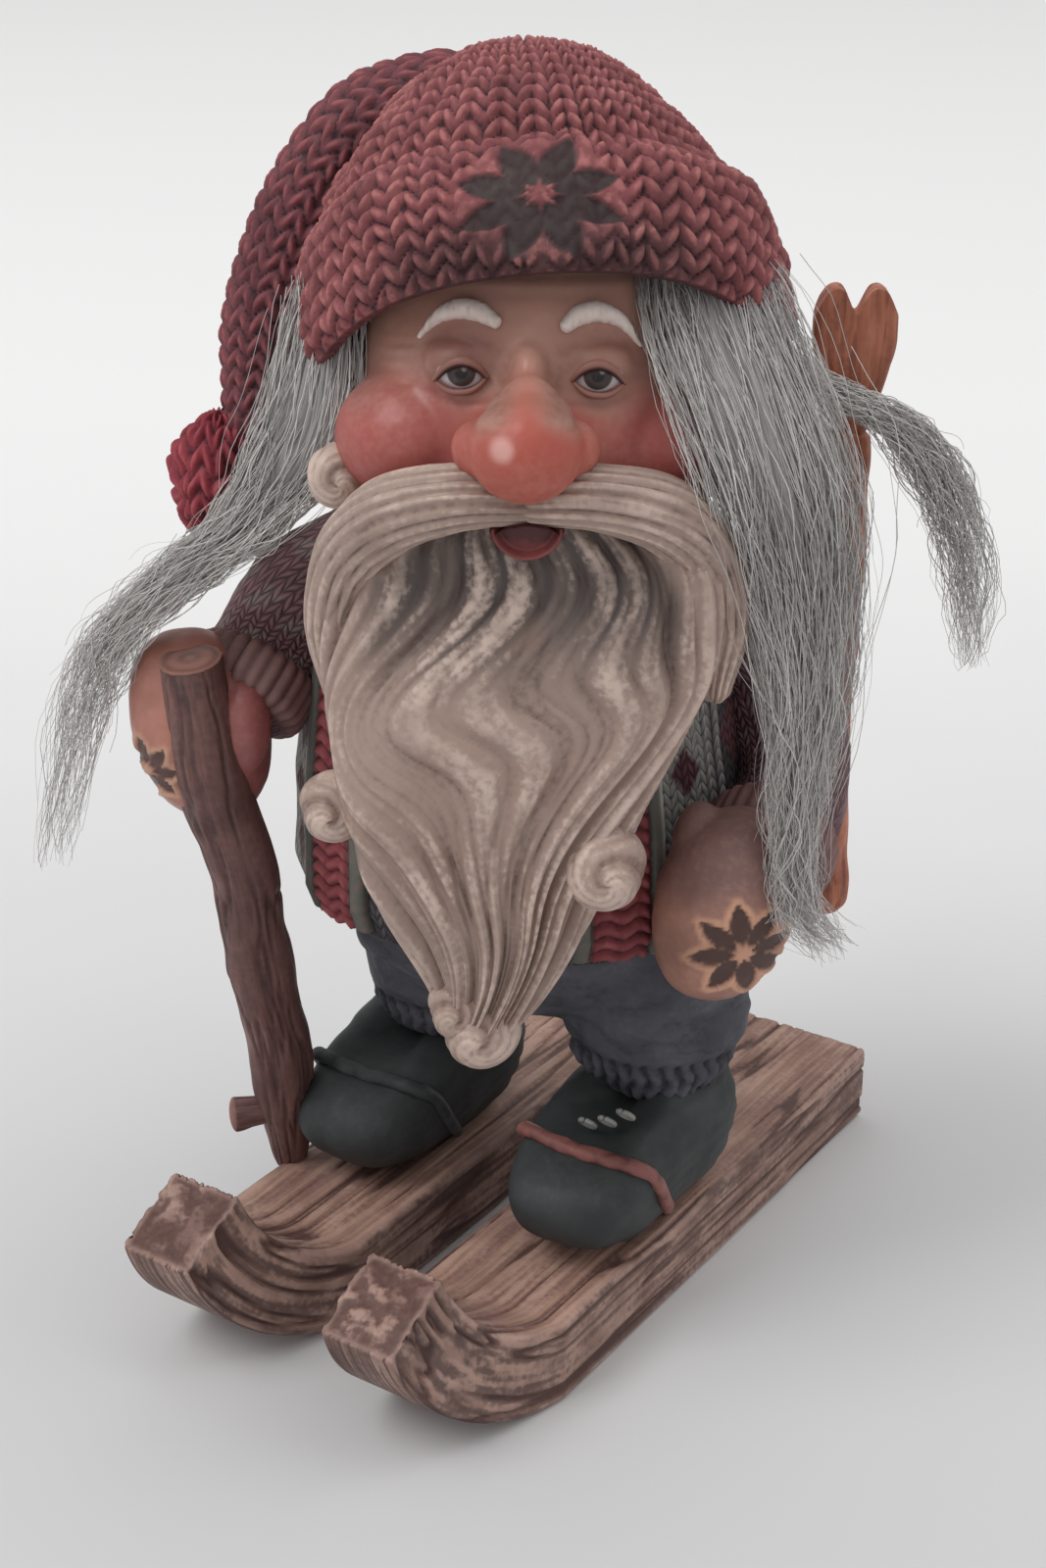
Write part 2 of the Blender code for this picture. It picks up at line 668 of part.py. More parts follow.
def forked_stick(collection):
    """The stick held behind the left arm, with a flat, notched top like a heart's."""
    low = on_head(0.0290, 0.0042, 0.0405)
    high = on_head(0.0297, -0.0015, 0.0858)
    stick = [low, low.lerp(high, 0.5), high]
    radii = [STICK_RADIUS * 1.15, STICK_RADIUS, STICK_RADIUS]
    made = [rod("stick", stick, radii, collection, 2, 2)]
    bm = gridded_box((6, 1, 6))
    for vertex in bm.verts:
        across, out, up = vertex.co
        rise = (up + 1.0) / 2
        spread = 0.30 + 0.70 * math.sin(math.pi / 2 * min(1.0, rise * 1.25))
        notch = 0.30 * max(0.0, rise - 0.5) * 2 * (1.0 - min(1.0, abs(across) * 2.2))
        shoulder = 0.22 * max(0.0, rise - 0.5) * 2 * max(0.0, abs(across) - 0.45) ** 1.5 * 3
        height = FORK_LENGTH * (rise - notch - shoulder)
        vertex.co = high + Vector((0.0, 0.0, 0.0012)) + (on_head(
            FORK_WIDTH / 2 * across * spread, -FORK_THICKNESS / 2 * out, height - 0.0012
        ) - on_head(0.0, 0.0, 0.0))
    made.append(add_mesh("fork", bm, collection))
    return made


def between(rows, along):
    """The row at this place along a table of rows, on a smooth curve through all of them."""
    first = min(len(rows) - 2, int(along))
    share = along - first
    before, after = max(0, first - 1), min(len(rows) - 1, first + 2)
    mixed = []
    for a, b, c, d in zip(rows[before], rows[first], rows[first + 1], rows[after]):
        bend = (2 * a - 5 * b + 4 * c - d) * share ** 2 + (3 * b - a - 3 * c + d) * share ** 3
        mixed.append(b + 0.5 * ((c - a) * share + bend))
    return mixed


def hank(name, path, collection):
    """A glued hank of hair: a flat tapering lock along a path.

    Each row of the path has lateral, forward and height in millimetres, then the lock's half width
    across the view and its half thickness. The lock's outer edge lies further back than its inner.
    """
    rows = [[value / 1000 for value in row] for row in path]
    wrap = HAIR_WRAP * math.copysign(1.0, rows[0][0])
    steps = len(rows) - 1
    bm = bmesh.new()
    bmesh.ops.create_uvsphere(bm, u_segments=HAIR_SEGMENTS, v_segments=3 * steps, radius=1.0)
    for vertex in bm.verts:
        x, y, z = vertex.co
        row = between(rows, math.acos(max(-1.0, min(1.0, z))) / math.pi * steps)
        ring = math.hypot(x, y)
        round_end = min(1.0, ring * 3) / max(ring, 1e-6)
        aside = row[3] * x * round_end
        vertex.co = on_head(
            row[0] + aside, row[1] - row[4] * y * round_end - wrap * aside, row[2]
        )
    made = add_mesh(name, bm, collection)
    made.data.materials.append(bpy.data.materials["hair_fibre"])
    return made


def hair(parts):
    """The three hanks of fibre glued under the hat's edge."""
    new_material("hair_fibre", (0.42, 0.43, 0.43), 0.7)
    hank("hair_right", (
        (-20.0, 14.5, 98.0, 0.8, 0.6), (-21.2, 14.0, 90.0, 1.7, 1.4), (-25.2, 12.5, 82.4, 3.0, 1.9),
        (-32.0, 10.5, 76.6, 2.8, 1.8), (-38.8, 9.5, 70.0, 2.3, 1.8), (-43.2, 7.5, 60.5, 1.9, 1.4),
        (-47.3, 6.5, 45.0, 0.7, 0.7),
    ), parts)
    hank("hair_left_front", (
        (14.0, 24.7, 105.2, 1.2, 0.4), (17.0, 25.8, 99.6, 4.0, 1.1), (20.8, 26.2, 91.5, 4.9, 1.7),
        (23.7, 24.0, 80.0, 5.4, 1.9), (24.3, 23.6, 68.0, 5.1, 2.0), (25.0, 24.8, 57.0, 3.2, 1.5),
        (26.6, 25.0, 46.0, 0.8, 0.8),
    ), parts)
    hank("hair_left_back", (
        (21.2, 8.0, 97.2, 0.8, 0.8), (25.0, 5.2, 93.4, 1.6, 1.3), (29.0, 4.2, 91.2, 2.0, 1.4),
        (33.4, 3.6, 88.6, 2.4, 1.5), (37.4, 2.5, 83.8, 2.6, 1.6), (40.4, 0.5, 77.4, 2.2, 1.5),
        (42.4, -2.0, 69.5, 1.7, 1.3), (43.4, -4.0, 61.8, 0.7, 0.7),
    ), parts)


def casting(parts, forms):
    """The whole painted casting: every form joined into one solid."""
    feet = ((-1, "right"), (1, "left"))
    for side, label in feet:
        ski(f"ski_{label}", side, forms)
        boot(f"boot_{label}", side, forms)
        strap(f"strap_{label}", side, forms)
        trouser_leg(f"trouser_leg_{label}", side, forms)
        front_band(f"front_band_{label}", side, forms)
        moustache(f"moustache_{label}", side, forms)
    trouser_seat("trouser_seat", forms)
    arms(forms)
    staff(forms)
    forked_stick(forms)
    head("head", forms)
    face(forms)
    beard("beard", forms)
    curls(forms)
    hat("hat", forms)
    hat_tail("hat_tail", forms)
    tassel("tassel", forms)
    figure = torso("gnome_casting", parts)
    join = figure.modifiers.new("join_forms", "BOOLEAN")
    join.operation = "UNION"
    join.operand_type = "COLLECTION"
    join.collection = forms
    join.solver = "EXACT"
    return figure


def main():
    """Builds the figurine."""
    for old in list(bpy.data.objects):
        bpy.data.objects.remove(old)
    parts = new_collection("gnome_figurine", True)
    forms = new_collection("casting_forms", False)
    figure = casting(parts, forms)
    figure.data.materials.append(new_material("painted_resin", (0.30, 0.12, 0.10), 0.55))
    hair(parts)


main()
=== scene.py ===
"""Looks of the gnome figurine on skis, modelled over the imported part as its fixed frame.

The figure is a painted resin casting with hanks of grey fibre glued under its hat. Lengths in this
file are millimetres and become metres when a surface is dressed. A place is given in the turned
frame of a storey: lateral (towards the viewer's right), forward and height above the floor.
"""

import itertools
import logging
import math
from collections.abc import Sequence
from dataclasses import dataclass, field
from enum import Enum

import bmesh
import bpy
import numpy as np
from mathutils import Matrix

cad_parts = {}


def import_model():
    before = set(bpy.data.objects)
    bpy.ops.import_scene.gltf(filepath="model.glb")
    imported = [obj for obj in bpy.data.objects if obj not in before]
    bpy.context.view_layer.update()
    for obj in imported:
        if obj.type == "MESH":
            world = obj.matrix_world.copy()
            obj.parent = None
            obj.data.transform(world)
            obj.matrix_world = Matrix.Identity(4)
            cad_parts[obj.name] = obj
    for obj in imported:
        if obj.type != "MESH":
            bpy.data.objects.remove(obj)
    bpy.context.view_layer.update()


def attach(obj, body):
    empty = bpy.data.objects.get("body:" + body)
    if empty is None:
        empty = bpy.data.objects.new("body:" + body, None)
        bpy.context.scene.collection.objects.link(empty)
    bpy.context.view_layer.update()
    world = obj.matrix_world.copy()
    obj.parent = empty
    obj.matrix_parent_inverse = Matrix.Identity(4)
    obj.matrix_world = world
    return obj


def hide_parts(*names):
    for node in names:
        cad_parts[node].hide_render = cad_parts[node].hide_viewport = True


LOG = logging.getLogger("gnome_figurine")
METRES = 0.001
BODY = "root"
CASTING = "gnome_casting"
AXIS_BACK = 3.0
STAR_PETALS = 8
PETAL_HALF_WIDTH = 0.215
PETAL_ROOT = 0.14
PETAL_SEAM = 0.004
Colour = tuple[float, float, float, float]
Layers = tuple[tuple[str, Colour], ...]


class Slot(Enum):
    """The record's material slots."""

    RESIN = "painted_resin"
    FIBRE = "hair_fibre"


class Side(Enum):
    """The figure's own right and left, as the sign of its lateral places."""

    RIGHT = -1
    LEFT = 1

    @property
    def label(self) -> str:
        """The side's name in lower case."""
        return self.name.lower()


class Storey(Enum):
    """How far each storey of the figure is turned about its upright axis, in degrees."""

    FEET = 0.0
    TORSO = 17.0
    HEAD = 34.0

    def place(self, lateral: np.ndarray, forward: np.ndarray, height: np.ndarray) -> np.ndarray:
        """Points of this storey's frame in the part's frame.

        Args:
            lateral: Distance towards the viewer's right.
            forward: Distance out of the storey's front.
            height: Height above the floor.

        Returns:
            The points, one row of three numbers each.
        """
        turn = math.radians(self.value)
        x = lateral * math.cos(turn) + forward * math.sin(turn)
        y = AXIS_BACK + lateral * math.sin(turn) - forward * math.cos(turn)
        return np.stack(np.broadcast_arrays(x, y, height), axis=-1).astype(float)

    def split(self, points: np.ndarray) -> tuple[np.ndarray, np.ndarray, np.ndarray]:
        """Lateral, forward and height of points of the part's frame.

        Args:
            points: Rows of three numbers.

        Returns:
            Three columns of distances.
        """
        turn = math.radians(self.value)
        x, y, z = points.T
        y = y - AXIS_BACK
        lateral = x * math.cos(turn) + y * math.sin(turn)
        return lateral, x * math.sin(turn) - y * math.cos(turn), z


def tint(red: int, green: int, blue: int) -> Colour:
    """A display colour of 0 to 255 as the linear colour that a shader takes.

    Args:
        red: Its red, 0 to 255.
        green: Its green.
        blue: Its blue.

    Returns:
        Linear red, green and blue, and an opacity of 1.
    """
    shares = (value / 255 for value in (red, green, blue))
    linear = (s / 12.92 if s <= 0.04045 else ((s + 0.055) / 1.055) ** 2.4 for s in shares)
    return (*linear, 1.0)


def eased(value: np.ndarray, low: float, high: float) -> np.ndarray:
    """0 below low, 1 above high and a smooth rise between them, or a fall where low is above."""
    share = np.clip((value - low) / (high - low), 0.0, 1.0)
    return share * share * (3.0 - 2.0 * share)


def hill(value: np.ndarray, width: float) -> np.ndarray:
    """1 where a value is 0, falling smoothly away on both sides of it."""
    return np.exp(-(value / width) ** 2)


def ridges(phase: np.ndarray, power: float) -> np.ndarray:
    """Ridges from 0 to 1, one for each half turn of the phase, blunter with a smaller power."""
    return np.abs(np.sin(phase)) ** power


def speckle(points: np.ndarray, seed: float = 0.0) -> np.ndarray:
    """Smooth repeatable noise from 0 to 1, whose cells are one unit wide.

    Args:
        points: Rows of one, two or three numbers.
        seed: Picks another pattern.

    Returns:
        One number for each row.
    """
    keys = np.array((127.1, 311.7, 74.7))[: points.shape[-1]]
    cell = np.floor(points)
    part = points - cell
    part = part * part * (3.0 - 2.0 * part)
    total = np.zeros(points.shape[0])
    for corner in itertools.product((0.0, 1.0), repeat=points.shape[-1]):
        weight = np.prod(np.where(np.array(corner) > 0.5, part, 1.0 - part), axis=-1)
        value = np.sin((cell + corner) @ keys + seed * 17.3) * 43758.5453
        total += weight * (value - np.floor(value))
    return total


def layered(points: np.ndarray, octaves: int = 3, seed: float = 0.0) -> np.ndarray:
    """Noise of several finenesses laid over one another, from 0 to 1.

    Args:
        points: Rows of one, two or three numbers.
        octaves: How many finenesses.
        seed: Picks another pattern.

    Returns:
        One number for each row.
    """
    total = sum(
        speckle(points * 2.0**octave, seed + octave) * 0.5 ** (octave + 1)
        for octave in range(octaves)
    )
    return total / (1.0 - 0.5**octaves)


def stitches(columns: np.ndarray, rows: np.ndarray) -> np.ndarray:
    """The height of V-shaped knitted stitches, from 0 in the gaps to 1 on the yarn.

    Args:
        columns: Place across, counted in stitches.
        rows: Place upwards, counted in rows.

    Returns:
        One height for each place.
    """
    aside = np.abs(columns - np.floor(columns) - 0.5) * 2.0
    phase = rows - 0.85 * aside
    phase = phase - np.floor(phase)
    across_yarn = np.sin(math.pi * phase) ** 0.75
    along_yarn = np.clip(1.0 - (2.0 * aside - 1.0) ** 2, 0.0, 1.0) ** 0.42
    return across_yarn * along_yarn


def rosette(x: np.ndarray, y: np.ndarray, start: float) -> np.ndarray:
    """How far inside the nearest petal of a knitted star a place lies.

    Args:
        x: Distance to the right of the star's centre, in star radii.
        y: Distance above it, in star radii.
        start: The first petal's angle in degrees.

    Returns:
        Star radii inside the petal's edge, negative outside.
    """
    pitch = 2.0 * math.pi / STAR_PETALS
    angle = np.arctan2(y, x) - math.radians(start)
    off = angle - np.round(angle / pitch) * pitch
    reach = np.hypot(x, y)
    along = np.clip((reach * np.cos(off) - PETAL_ROOT) / (1.0 - PETAL_ROOT), 0.0, 1.0)
    half = PETAL_HALF_WIDTH * np.sin(math.pi * along**0.9) ** 0.75
    return half - np.abs(reach * np.sin(off)) - PETAL_SEAM


class Route:
    """A smooth line through knots. The numbers after a knot's place are carried along it.

    Attributes:
        length: The line's length.
    """

    def __init__(self, knots: Sequence[Sequence[float]]) -> None:
        """Draws the line.

        Args:
            knots: Rows of three coordinates and any further numbers.
        """
        rows = np.array(knots, float)
        fine = np.linspace(0.0, len(rows) - 1.0, 48 * (len(rows) - 1) + 1)
        self.rows = through(rows, fine)
        steps = np.linalg.norm(np.diff(self.rows[:, :3], axis=0), axis=1)
        self.reach = np.concatenate(([0.0], np.cumsum(steps)))
        self.length = float(self.reach[-1])
        ahead = np.gradient(self.rows[:, :3], self.reach, axis=0)
        ahead /= np.linalg.norm(ahead, axis=1, keepdims=True)
        hint = np.array((0.3, -1.0, 0.2))
        across = np.cross(ahead[0], hint)
        sides = []
        for direction in ahead:
            across = across - direction * (across @ direction)
            across = across / np.linalg.norm(across)
            sides.append(across)
        self.across = np.array(sides)
        self.out = np.cross(ahead, self.across)
        self.ahead = ahead

    def _read(self, table: np.ndarray, share: np.ndarray) -> np.ndarray:
        """The table's rows at shares of the line's length."""
        reach = np.clip(share, 0.0, 1.0) * self.length
        return np.stack([np.interp(reach, self.reach, col) for col in table.T], axis=-1)

    def at(self, share: np.ndarray) -> np.ndarray:
        """Places and carried numbers at shares of the line's length."""
        return self._read(self.rows, share)

    def frame(self, share: np.ndarray) -> tuple[np.ndarray, np.ndarray, np.ndarray]:
        """Directions across, out of and along the line at shares of its length."""
        return (self._read(self.across, share), self._read(self.out, share),
                self._read(self.ahead, share))


def through(rows: np.ndarray, along: np.ndarray) -> np.ndarray:
    """Reads rows between whole row numbers, on a smooth curve through all of them.

    Args:
        rows: The rows.
        along: Row numbers, whole or between.

    Returns:
        One row for each number.
    """
    first = np.clip(np.floor(along).astype(int), 0, len(rows) - 2)
    share = (along - first)[:, None]
    a, b = rows[np.maximum(first - 1, 0)], rows[first]
    c, d = rows[first + 1], rows[np.minimum(first + 2, len(rows) - 1)]
    bend = (2 * a - 5 * b + 4 * c - d) * share**2 + (3 * b - a - 3 * c + d) * share**3
    return b + 0.5 * ((c - a) * share + bend)


# Surfaces


def placed(name: str, data: bpy.types.ID) -> bpy.types.Object:
    """Puts data into the scene.

    Args:
        name: The object's name.
        data: A mesh, curve, lamp or camera.

    Returns:
        The object that shows it.
    """
    made = bpy.data.objects.new(name, data)
    bpy.context.scene.collection.objects.link(made)
    return made


def frozen(helper: bpy.types.Object) -> bpy.types.Mesh:
    """Turns what an object's modifiers or bevel make into a mesh.

    Args:
        helper: The object, which is used up.

    Returns:
        The mesh.
    """
    graph = bpy.context.evaluated_depsgraph_get()
    mesh = bpy.data.meshes.new_from_object(helper.evaluated_get(graph))
    bpy.data.objects.remove(helper)
    return mesh


class Surface:
    """A closed mesh in millimetres, with the masks that its paint reads.

    Attributes:
        mesh: The mesh under work.
    """

    def __init__(self, mesh: bpy.types.Mesh) -> None:
        """Takes over a mesh."""
        self.mesh = mesh

    @property
    def points(self) -> np.ndarray:
        """The vertices' places.

        Returns:
            One row of three numbers for each vertex.
        """
        flat = np.zeros(len(self.mesh.vertices) * 3)
        self.mesh.vertices.foreach_get("co", flat)
        return flat.reshape(-1, 3)

    @points.setter
    def points(self, places: np.ndarray) -> None:
        """Moves the vertices."""
        self.mesh.vertices.foreach_set("co", np.asarray(places, np.float32).ravel())
        self.mesh.update()

    @property
    def normals(self) -> np.ndarray:
        """The vertices' outward directions.

        Returns:
            One row of three numbers for each vertex.
        """
        flat = np.zeros(len(self.mesh.vertices) * 3, np.float32)
        self.mesh.vertex_normals.foreach_get("vector", flat)
        return flat.reshape(-1, 3).astype(float)

    def swell(self, amount: np.ndarray | float) -> None:
        """Moves the vertices outwards by their own amounts."""
        self.points = self.points + self.normals * np.reshape(amount, (-1, 1))

    def mask(self, name: str, values: np.ndarray | float) -> None:
        """Keeps a number for each vertex.

        Args:
            name: The name that a material reads.
            values: One number for each vertex, or one for all, held between 0 and 1.
        """
        layer = self.mesh.attributes.new(name, "FLOAT", "POINT")
        wide = np.broadcast_to(np.clip(values, 0.0, 1.0), len(self.mesh.vertices))
        layer.data.foreach_set("value", np.asarray(wide, np.float32))

    def grain(self, places: np.ndarray) -> None:
        """Keeps straightened places, so that the wood's grain follows a bent form."""
        layer = self.mesh.attributes.new("grain", "FLOAT_VECTOR", "POINT")
        layer.data.foreach_set("vector", np.asarray(places, np.float32).ravel())

    def stitch_map(self, columns: np.ndarray, rows: np.ndarray, around: float) -> None:
        """Lays a UV map that counts stitches.

        Args:
            columns: Each vertex's place across, in stitches.
            rows: Each vertex's place upwards, in rows.
            around: The stitches in one full turn.
        """
        corners = np.zeros(len(self.mesh.loops), np.int64)
        self.mesh.loops.foreach_get("vertex_index", corners)
        starts = np.zeros(len(self.mesh.polygons), np.int64)
        self.mesh.polygons.foreach_get("loop_start", starts)
        across = columns[corners]
        sizes = np.diff(np.append(starts, len(corners)))
        largest = np.repeat(np.maximum.reduceat(across, starts), sizes)
        across = np.where(largest - across > around / 2, across + around, across)
        layer = self.mesh.uv_layers.new(name="stitches")
        pairs = np.stack((across, rows[corners]), axis=-1)
        layer.data.foreach_set("uv", pairs.astype(np.float32).ravel())

    def dress(self, name: str, finish: "Finish", node: str = CASTING,
              **masks: np.ndarray | float) -> bpy.types.Object:
        """Makes the surface a piece of the figurine.

        Args:
            name: The piece's name.
            finish: What it is painted with.
            node: The solid of the part that it stands for.
            **masks: The values of each mask that the finish reads.

        Returns:
            The finished piece.
        """
        for label, values in masks.items():
            self.mask(label, values)
        self.points = self.points * METRES
        bm = bmesh.new()
        bm.from_mesh(self.mesh)
        bmesh.ops.recalc_face_normals(bm, faces=bm.faces)
        for face in bm.faces:
            face.smooth = True
        bm.to_mesh(self.mesh)
        bm.free()
        self.mesh.name = name
        self.mesh.materials.append(finish.material())
        piece = placed(name, self.mesh)
        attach(piece, BODY)
        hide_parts(node)
        count = sum(len(polygon.vertices) - 2 for polygon in self.mesh.polygons)
        LOG.info("%s: %d triangles", name, count)
        return piece


class Ball(Surface):
    """A ball of quads, to be moved into a form.

    Attributes:
        turn: Each vertex's angle round the axis, 0 at the front, rising to the viewer's right.
        drop: Each vertex's way from the first pole to the last, from 0 to 1.
        ring: Its distance from the axis, 0 at the poles and 1 at the equator.
        rise: Its height, from 1 at the first pole to -1 at the last.
    """

    def __init__(self, segments: int, rings: int) -> None:
        """Makes the ball.

        Args:
            segments: Faces round it.
            rings: Faces from pole to pole.
        """
        bm = bmesh.new()
        bmesh.ops.create_grid(bm, x_segments=segments, y_segments=rings, size=1.0)
        for vert in bm.verts:
            turn, rise = math.pi * vert.co.x, math.pi / 2 * vert.co.y
            ring = math.cos(rise)
            vert.co = (ring * math.sin(turn), -ring * math.cos(turn), math.sin(rise))
        bmesh.ops.remove_doubles(bm, verts=bm.verts, dist=1e-6)
        mesh = bpy.data.meshes.new("ball")
        bm.to_mesh(mesh)
        bm.free()
        super().__init__(mesh)
        x, y, z = self.points.T
        self.turn = np.where(np.hypot(x, y) > 1e-5, np.arctan2(x, -y), 0.0)
        self.drop = np.arccos(np.clip(z, -1.0, 1.0)) / math.pi
        self.ring = np.sin(math.pi * self.drop)
        self.rise = np.cos(math.pi * self.drop)

    def capped(self, first: float, last: float) -> tuple[np.ndarray, np.ndarray, np.ndarray]:
        """Splits the ball into a side and two end faces.

        Args:
            first: The share of the rings that the first end face takes.
            last: The share that the last end face takes.

        Returns:
            The place along the side from 0 to 1, and how far each vertex is from the middle of
            the first and of the last end face, 0 in the middle and 1 from the rim on.
        """
        side = np.clip((self.drop - first) / (1.0 - first - last), 0.0, 1.0)
        return side, np.clip(self.drop / first, 0, 1), np.clip((1.0 - self.drop) / last, 0, 1)


def lump(centre: Sequence[float], radii: Sequence[float], segments: int = 48, rings: int = 32,
         storey: Storey = Storey.HEAD) -> Ball:
    """An ellipsoid.

    Args:
        centre: Lateral, forward and height.
        radii: The same way round.
        segments: Faces round it.
        rings: Faces from top to bottom.
        storey: The frame of its centre and radii.

    Returns:
        The ball, moved into place.
    """
    ball = Ball(segments, rings)
    ball.points = storey.place(
        centre[0] + radii[0] * ball.ring * np.sin(ball.turn),
        centre[1] + radii[1] * ball.ring * np.cos(ball.turn),
        centre[2] + radii[2] * ball.rise,
    )
    return ball


def limb(route: Route, segments: int, rings: int, caps: tuple[float, float] = (0.08, 0.08),
         round_ends: tuple[float, float] = (0.7, 0.7), flat: float = 1.0) -> Ball:
    """A round limb along a route whose fourth number is its radius.

    Args:
        route: The limb's middle line.
        segments: Faces round it.
        rings: Faces from end to end.
        caps: The shares of the rings that its two ends take.
        round_ends: How far each end bulges, 0 flat and 1 half a ball.
        flat: The share of the radius left out of the line's own plane.

    Returns:
        The limb, with its straightened places as its grain.
    """
    ball = Ball(segments, rings)
    side, first, last = ball.capped(*caps)
    rows = route.at(side)
    across, out, ahead = route.frame(side)
    share = np.sin(math.pi / 2 * np.minimum(first, last))
    radius = rows[:, 3]
    first_push, last_push = (size * np.cos(math.pi / 2 * end)
                             for size, end in zip(round_ends, (first, last)))
    x, y = radius * share * np.sin(ball.turn), radius * share * np.cos(ball.turn)
    ball.points = (rows[:, :3] + across * x[:, None] + out * (y * flat)[:, None]
                   + ahead * ((last_push - first_push) * radius)[:, None])
    ball.grain(np.stack((x, y, side * route.length), axis=-1))
    return ball


def knots_of(places: Sequence[Sequence[float]],
             radii: Sequence[float]) -> list[tuple[float, ...]]:
    """A limb's knots from places in the head's frame and the radius at each of them."""
    return [(*Storey.HEAD.place(*place), radius) for place, radius in zip(places, radii)]


def plank(ball: Ball, width: float, thickness: float, corner: float,
          caps: tuple[float, float]) -> tuple[np.ndarray, np.ndarray, np.ndarray]:
    """Spreads a ball's vertices over a straight bar with rounded edges.

    Args:
        ball: The ball.
        width: The bar's width.
        thickness: Its thickness.
        corner: The radius of its long edges.
        caps: The shares of the rings that its two ends take.

    Returns:
        Each vertex's place across and through the bar, and from 0 to 1 along it.
    """
    side, first, last = ball.capped(*caps)
    walk = np.abs(ball.turn) / math.pi * (width + thickness)
    half_width, half_thick = width / 2, thickness / 2
    across = np.where(walk < half_width, walk, np.minimum(half_width, width + thickness - walk))
    out = np.clip(half_thick - (walk - half_width), -half_thick, half_thick)
    inner_x = np.minimum(across, half_width - corner)
    inner_y = np.clip(out, corner - half_thick, half_thick - corner)
    off_x, off_y = across - inner_x, out - inner_y
    reach = np.maximum(np.hypot(off_x, off_y), 1e-9)
    rounding = np.where(reach > 1e-6, corner / reach, 0.0)
    across, out = inner_x + off_x * rounding, inner_y + off_y * rounding
    share = np.minimum(first, last)
    return across * np.sign(ball.turn) * share, out * share, side


def fused(parts: Sequence[Surface], voxel: float, rounds: int) -> Surface:
    """Runs several forms together into one skin, as wax is smoothed over an armature.

    Args:
        parts: The forms, which are used up.
        voxel: The skin's mesh size.
        rounds: How often it is smoothed.

    Returns:
        The skin.
    """
    bm = bmesh.new()
    for part in parts:
        bm.from_mesh(part.mesh)
        bpy.data.meshes.remove(part.mesh)
    mesh = bpy.data.meshes.new("fused")
    bm.to_mesh(mesh)
    bm.free()
    helper = placed("fused", mesh)
    remesh = helper.modifiers.new("skin", "REMESH")
    remesh.mode = "VOXEL"
    remesh.voxel_size = voxel
    smooth = helper.modifiers.new("smooth", "SMOOTH")
    smooth.factor = 0.5
    smooth.iterations = rounds
    skin = frozen(helper)
    bpy.data.meshes.remove(mesh)
    return Surface(skin)


# Finishes


class Bench:
    """Lays and joins the nodes of one tree."""

    def __init__(self, tree: bpy.types.NodeTree) -> None:
        """Works on a tree."""
        self.tree = tree

    def add(self, kind: str, inputs: dict | None = None, **settings: object) -> bpy.types.Node:
        """Lays one node.

        Args:
            kind: The node's type.
            inputs: A value or another node's socket for each input, by name or number.
            **settings: The node's own settings.

        Returns:
            The node.
        """
        node = self.tree.nodes.new(kind)
        for name, value in settings.items():
            setattr(node, name, value)
        self.feed(node, inputs or {})
        return node

    def feed(self, node: bpy.types.Node, inputs: dict) -> None:
        """Fills a node's inputs.

        Args:
            node: The node.
            inputs: A value or another node's socket for each input, by name or number.
        """
        for key, value in inputs.items():
            if isinstance(value, bpy.types.NodeSocket):
                self.tree.links.new(value, node.inputs[key])
            else:
                node.inputs[key].default_value = value

    def maths(self, operation: str, first: object, second: object = 0.0) -> bpy.types.NodeSocket:
        """The outcome of one sum of two values or sockets."""
        return self.add("ShaderNodeMath", {0: first, 1: second}, operation=operation).outputs[0]

    def times(self, first: object, second: object) -> bpy.types.NodeSocket:
        """The product of two values or sockets."""
        return self.maths("MULTIPLY", first, second)

    def blend(self, share: object, first: object, second: object) -> bpy.types.NodeSocket:
        """Two colours laid over one another by a share."""
        return self.add("ShaderNodeMix", {0: share, 6: first, 7: second},
                        data_type="RGBA").outputs[2]

    def noise(self, place: object, scale: float, detail: float = 3.0) -> bpy.types.NodeSocket:
        """Noise of a fineness at a place."""
        made = self.add("ShaderNodeTexNoise", {"Vector": place, "Scale": scale, "Detail": detail})
        return made.outputs["Fac"]

    def rise(self, value: object, low: float, high: float, first: object = 0.0,
             last: object = 1.0) -> bpy.types.NodeSocket:
        """A smooth step between two values."""
        given = {"Value": value, "From Min": low, "From Max": high, "To Min": first, "To Max": last}
        return self.add("ShaderNodeMapRange", given, interpolation_type="SMOOTHSTEP").outputs[0]

    def attribute(self, name: str, output: str = "Fac") -> bpy.types.NodeSocket:
        """What a surface keeps under a name."""
        return self.add("ShaderNodeAttribute", attribute_name=name).outputs[output]


def new_group(name: str, inputs: Sequence[tuple[str, str, object]],
              outputs: Sequence[tuple[str, str]]) -> tuple[Bench, bpy.types.Node, bpy.types.Node]:
    """An empty node group.

    Args:
        name: The group's name.
        inputs: Name, kind (Float, Color or Vector) and first value of each input.
        outputs: Name and kind of each output.

    Returns:
        A bench on the group, its input node and its output node.
    """
    tree = bpy.data.node_groups.new(name, "ShaderNodeTree")
    for label, kind, value in inputs:
        made = tree.interface.new_socket(
            name=label, in_out="INPUT", socket_type=f"NodeSocket{kind}")
        if value is not None:
            made.default_value = value
    for label, kind in outputs:
        tree.interface.new_socket(name=label, in_out="OUTPUT", socket_type=f"NodeSocket{kind}")
    bench = Bench(tree)
    return bench, bench.add("NodeGroupInput"), bench.add("NodeGroupOutput")


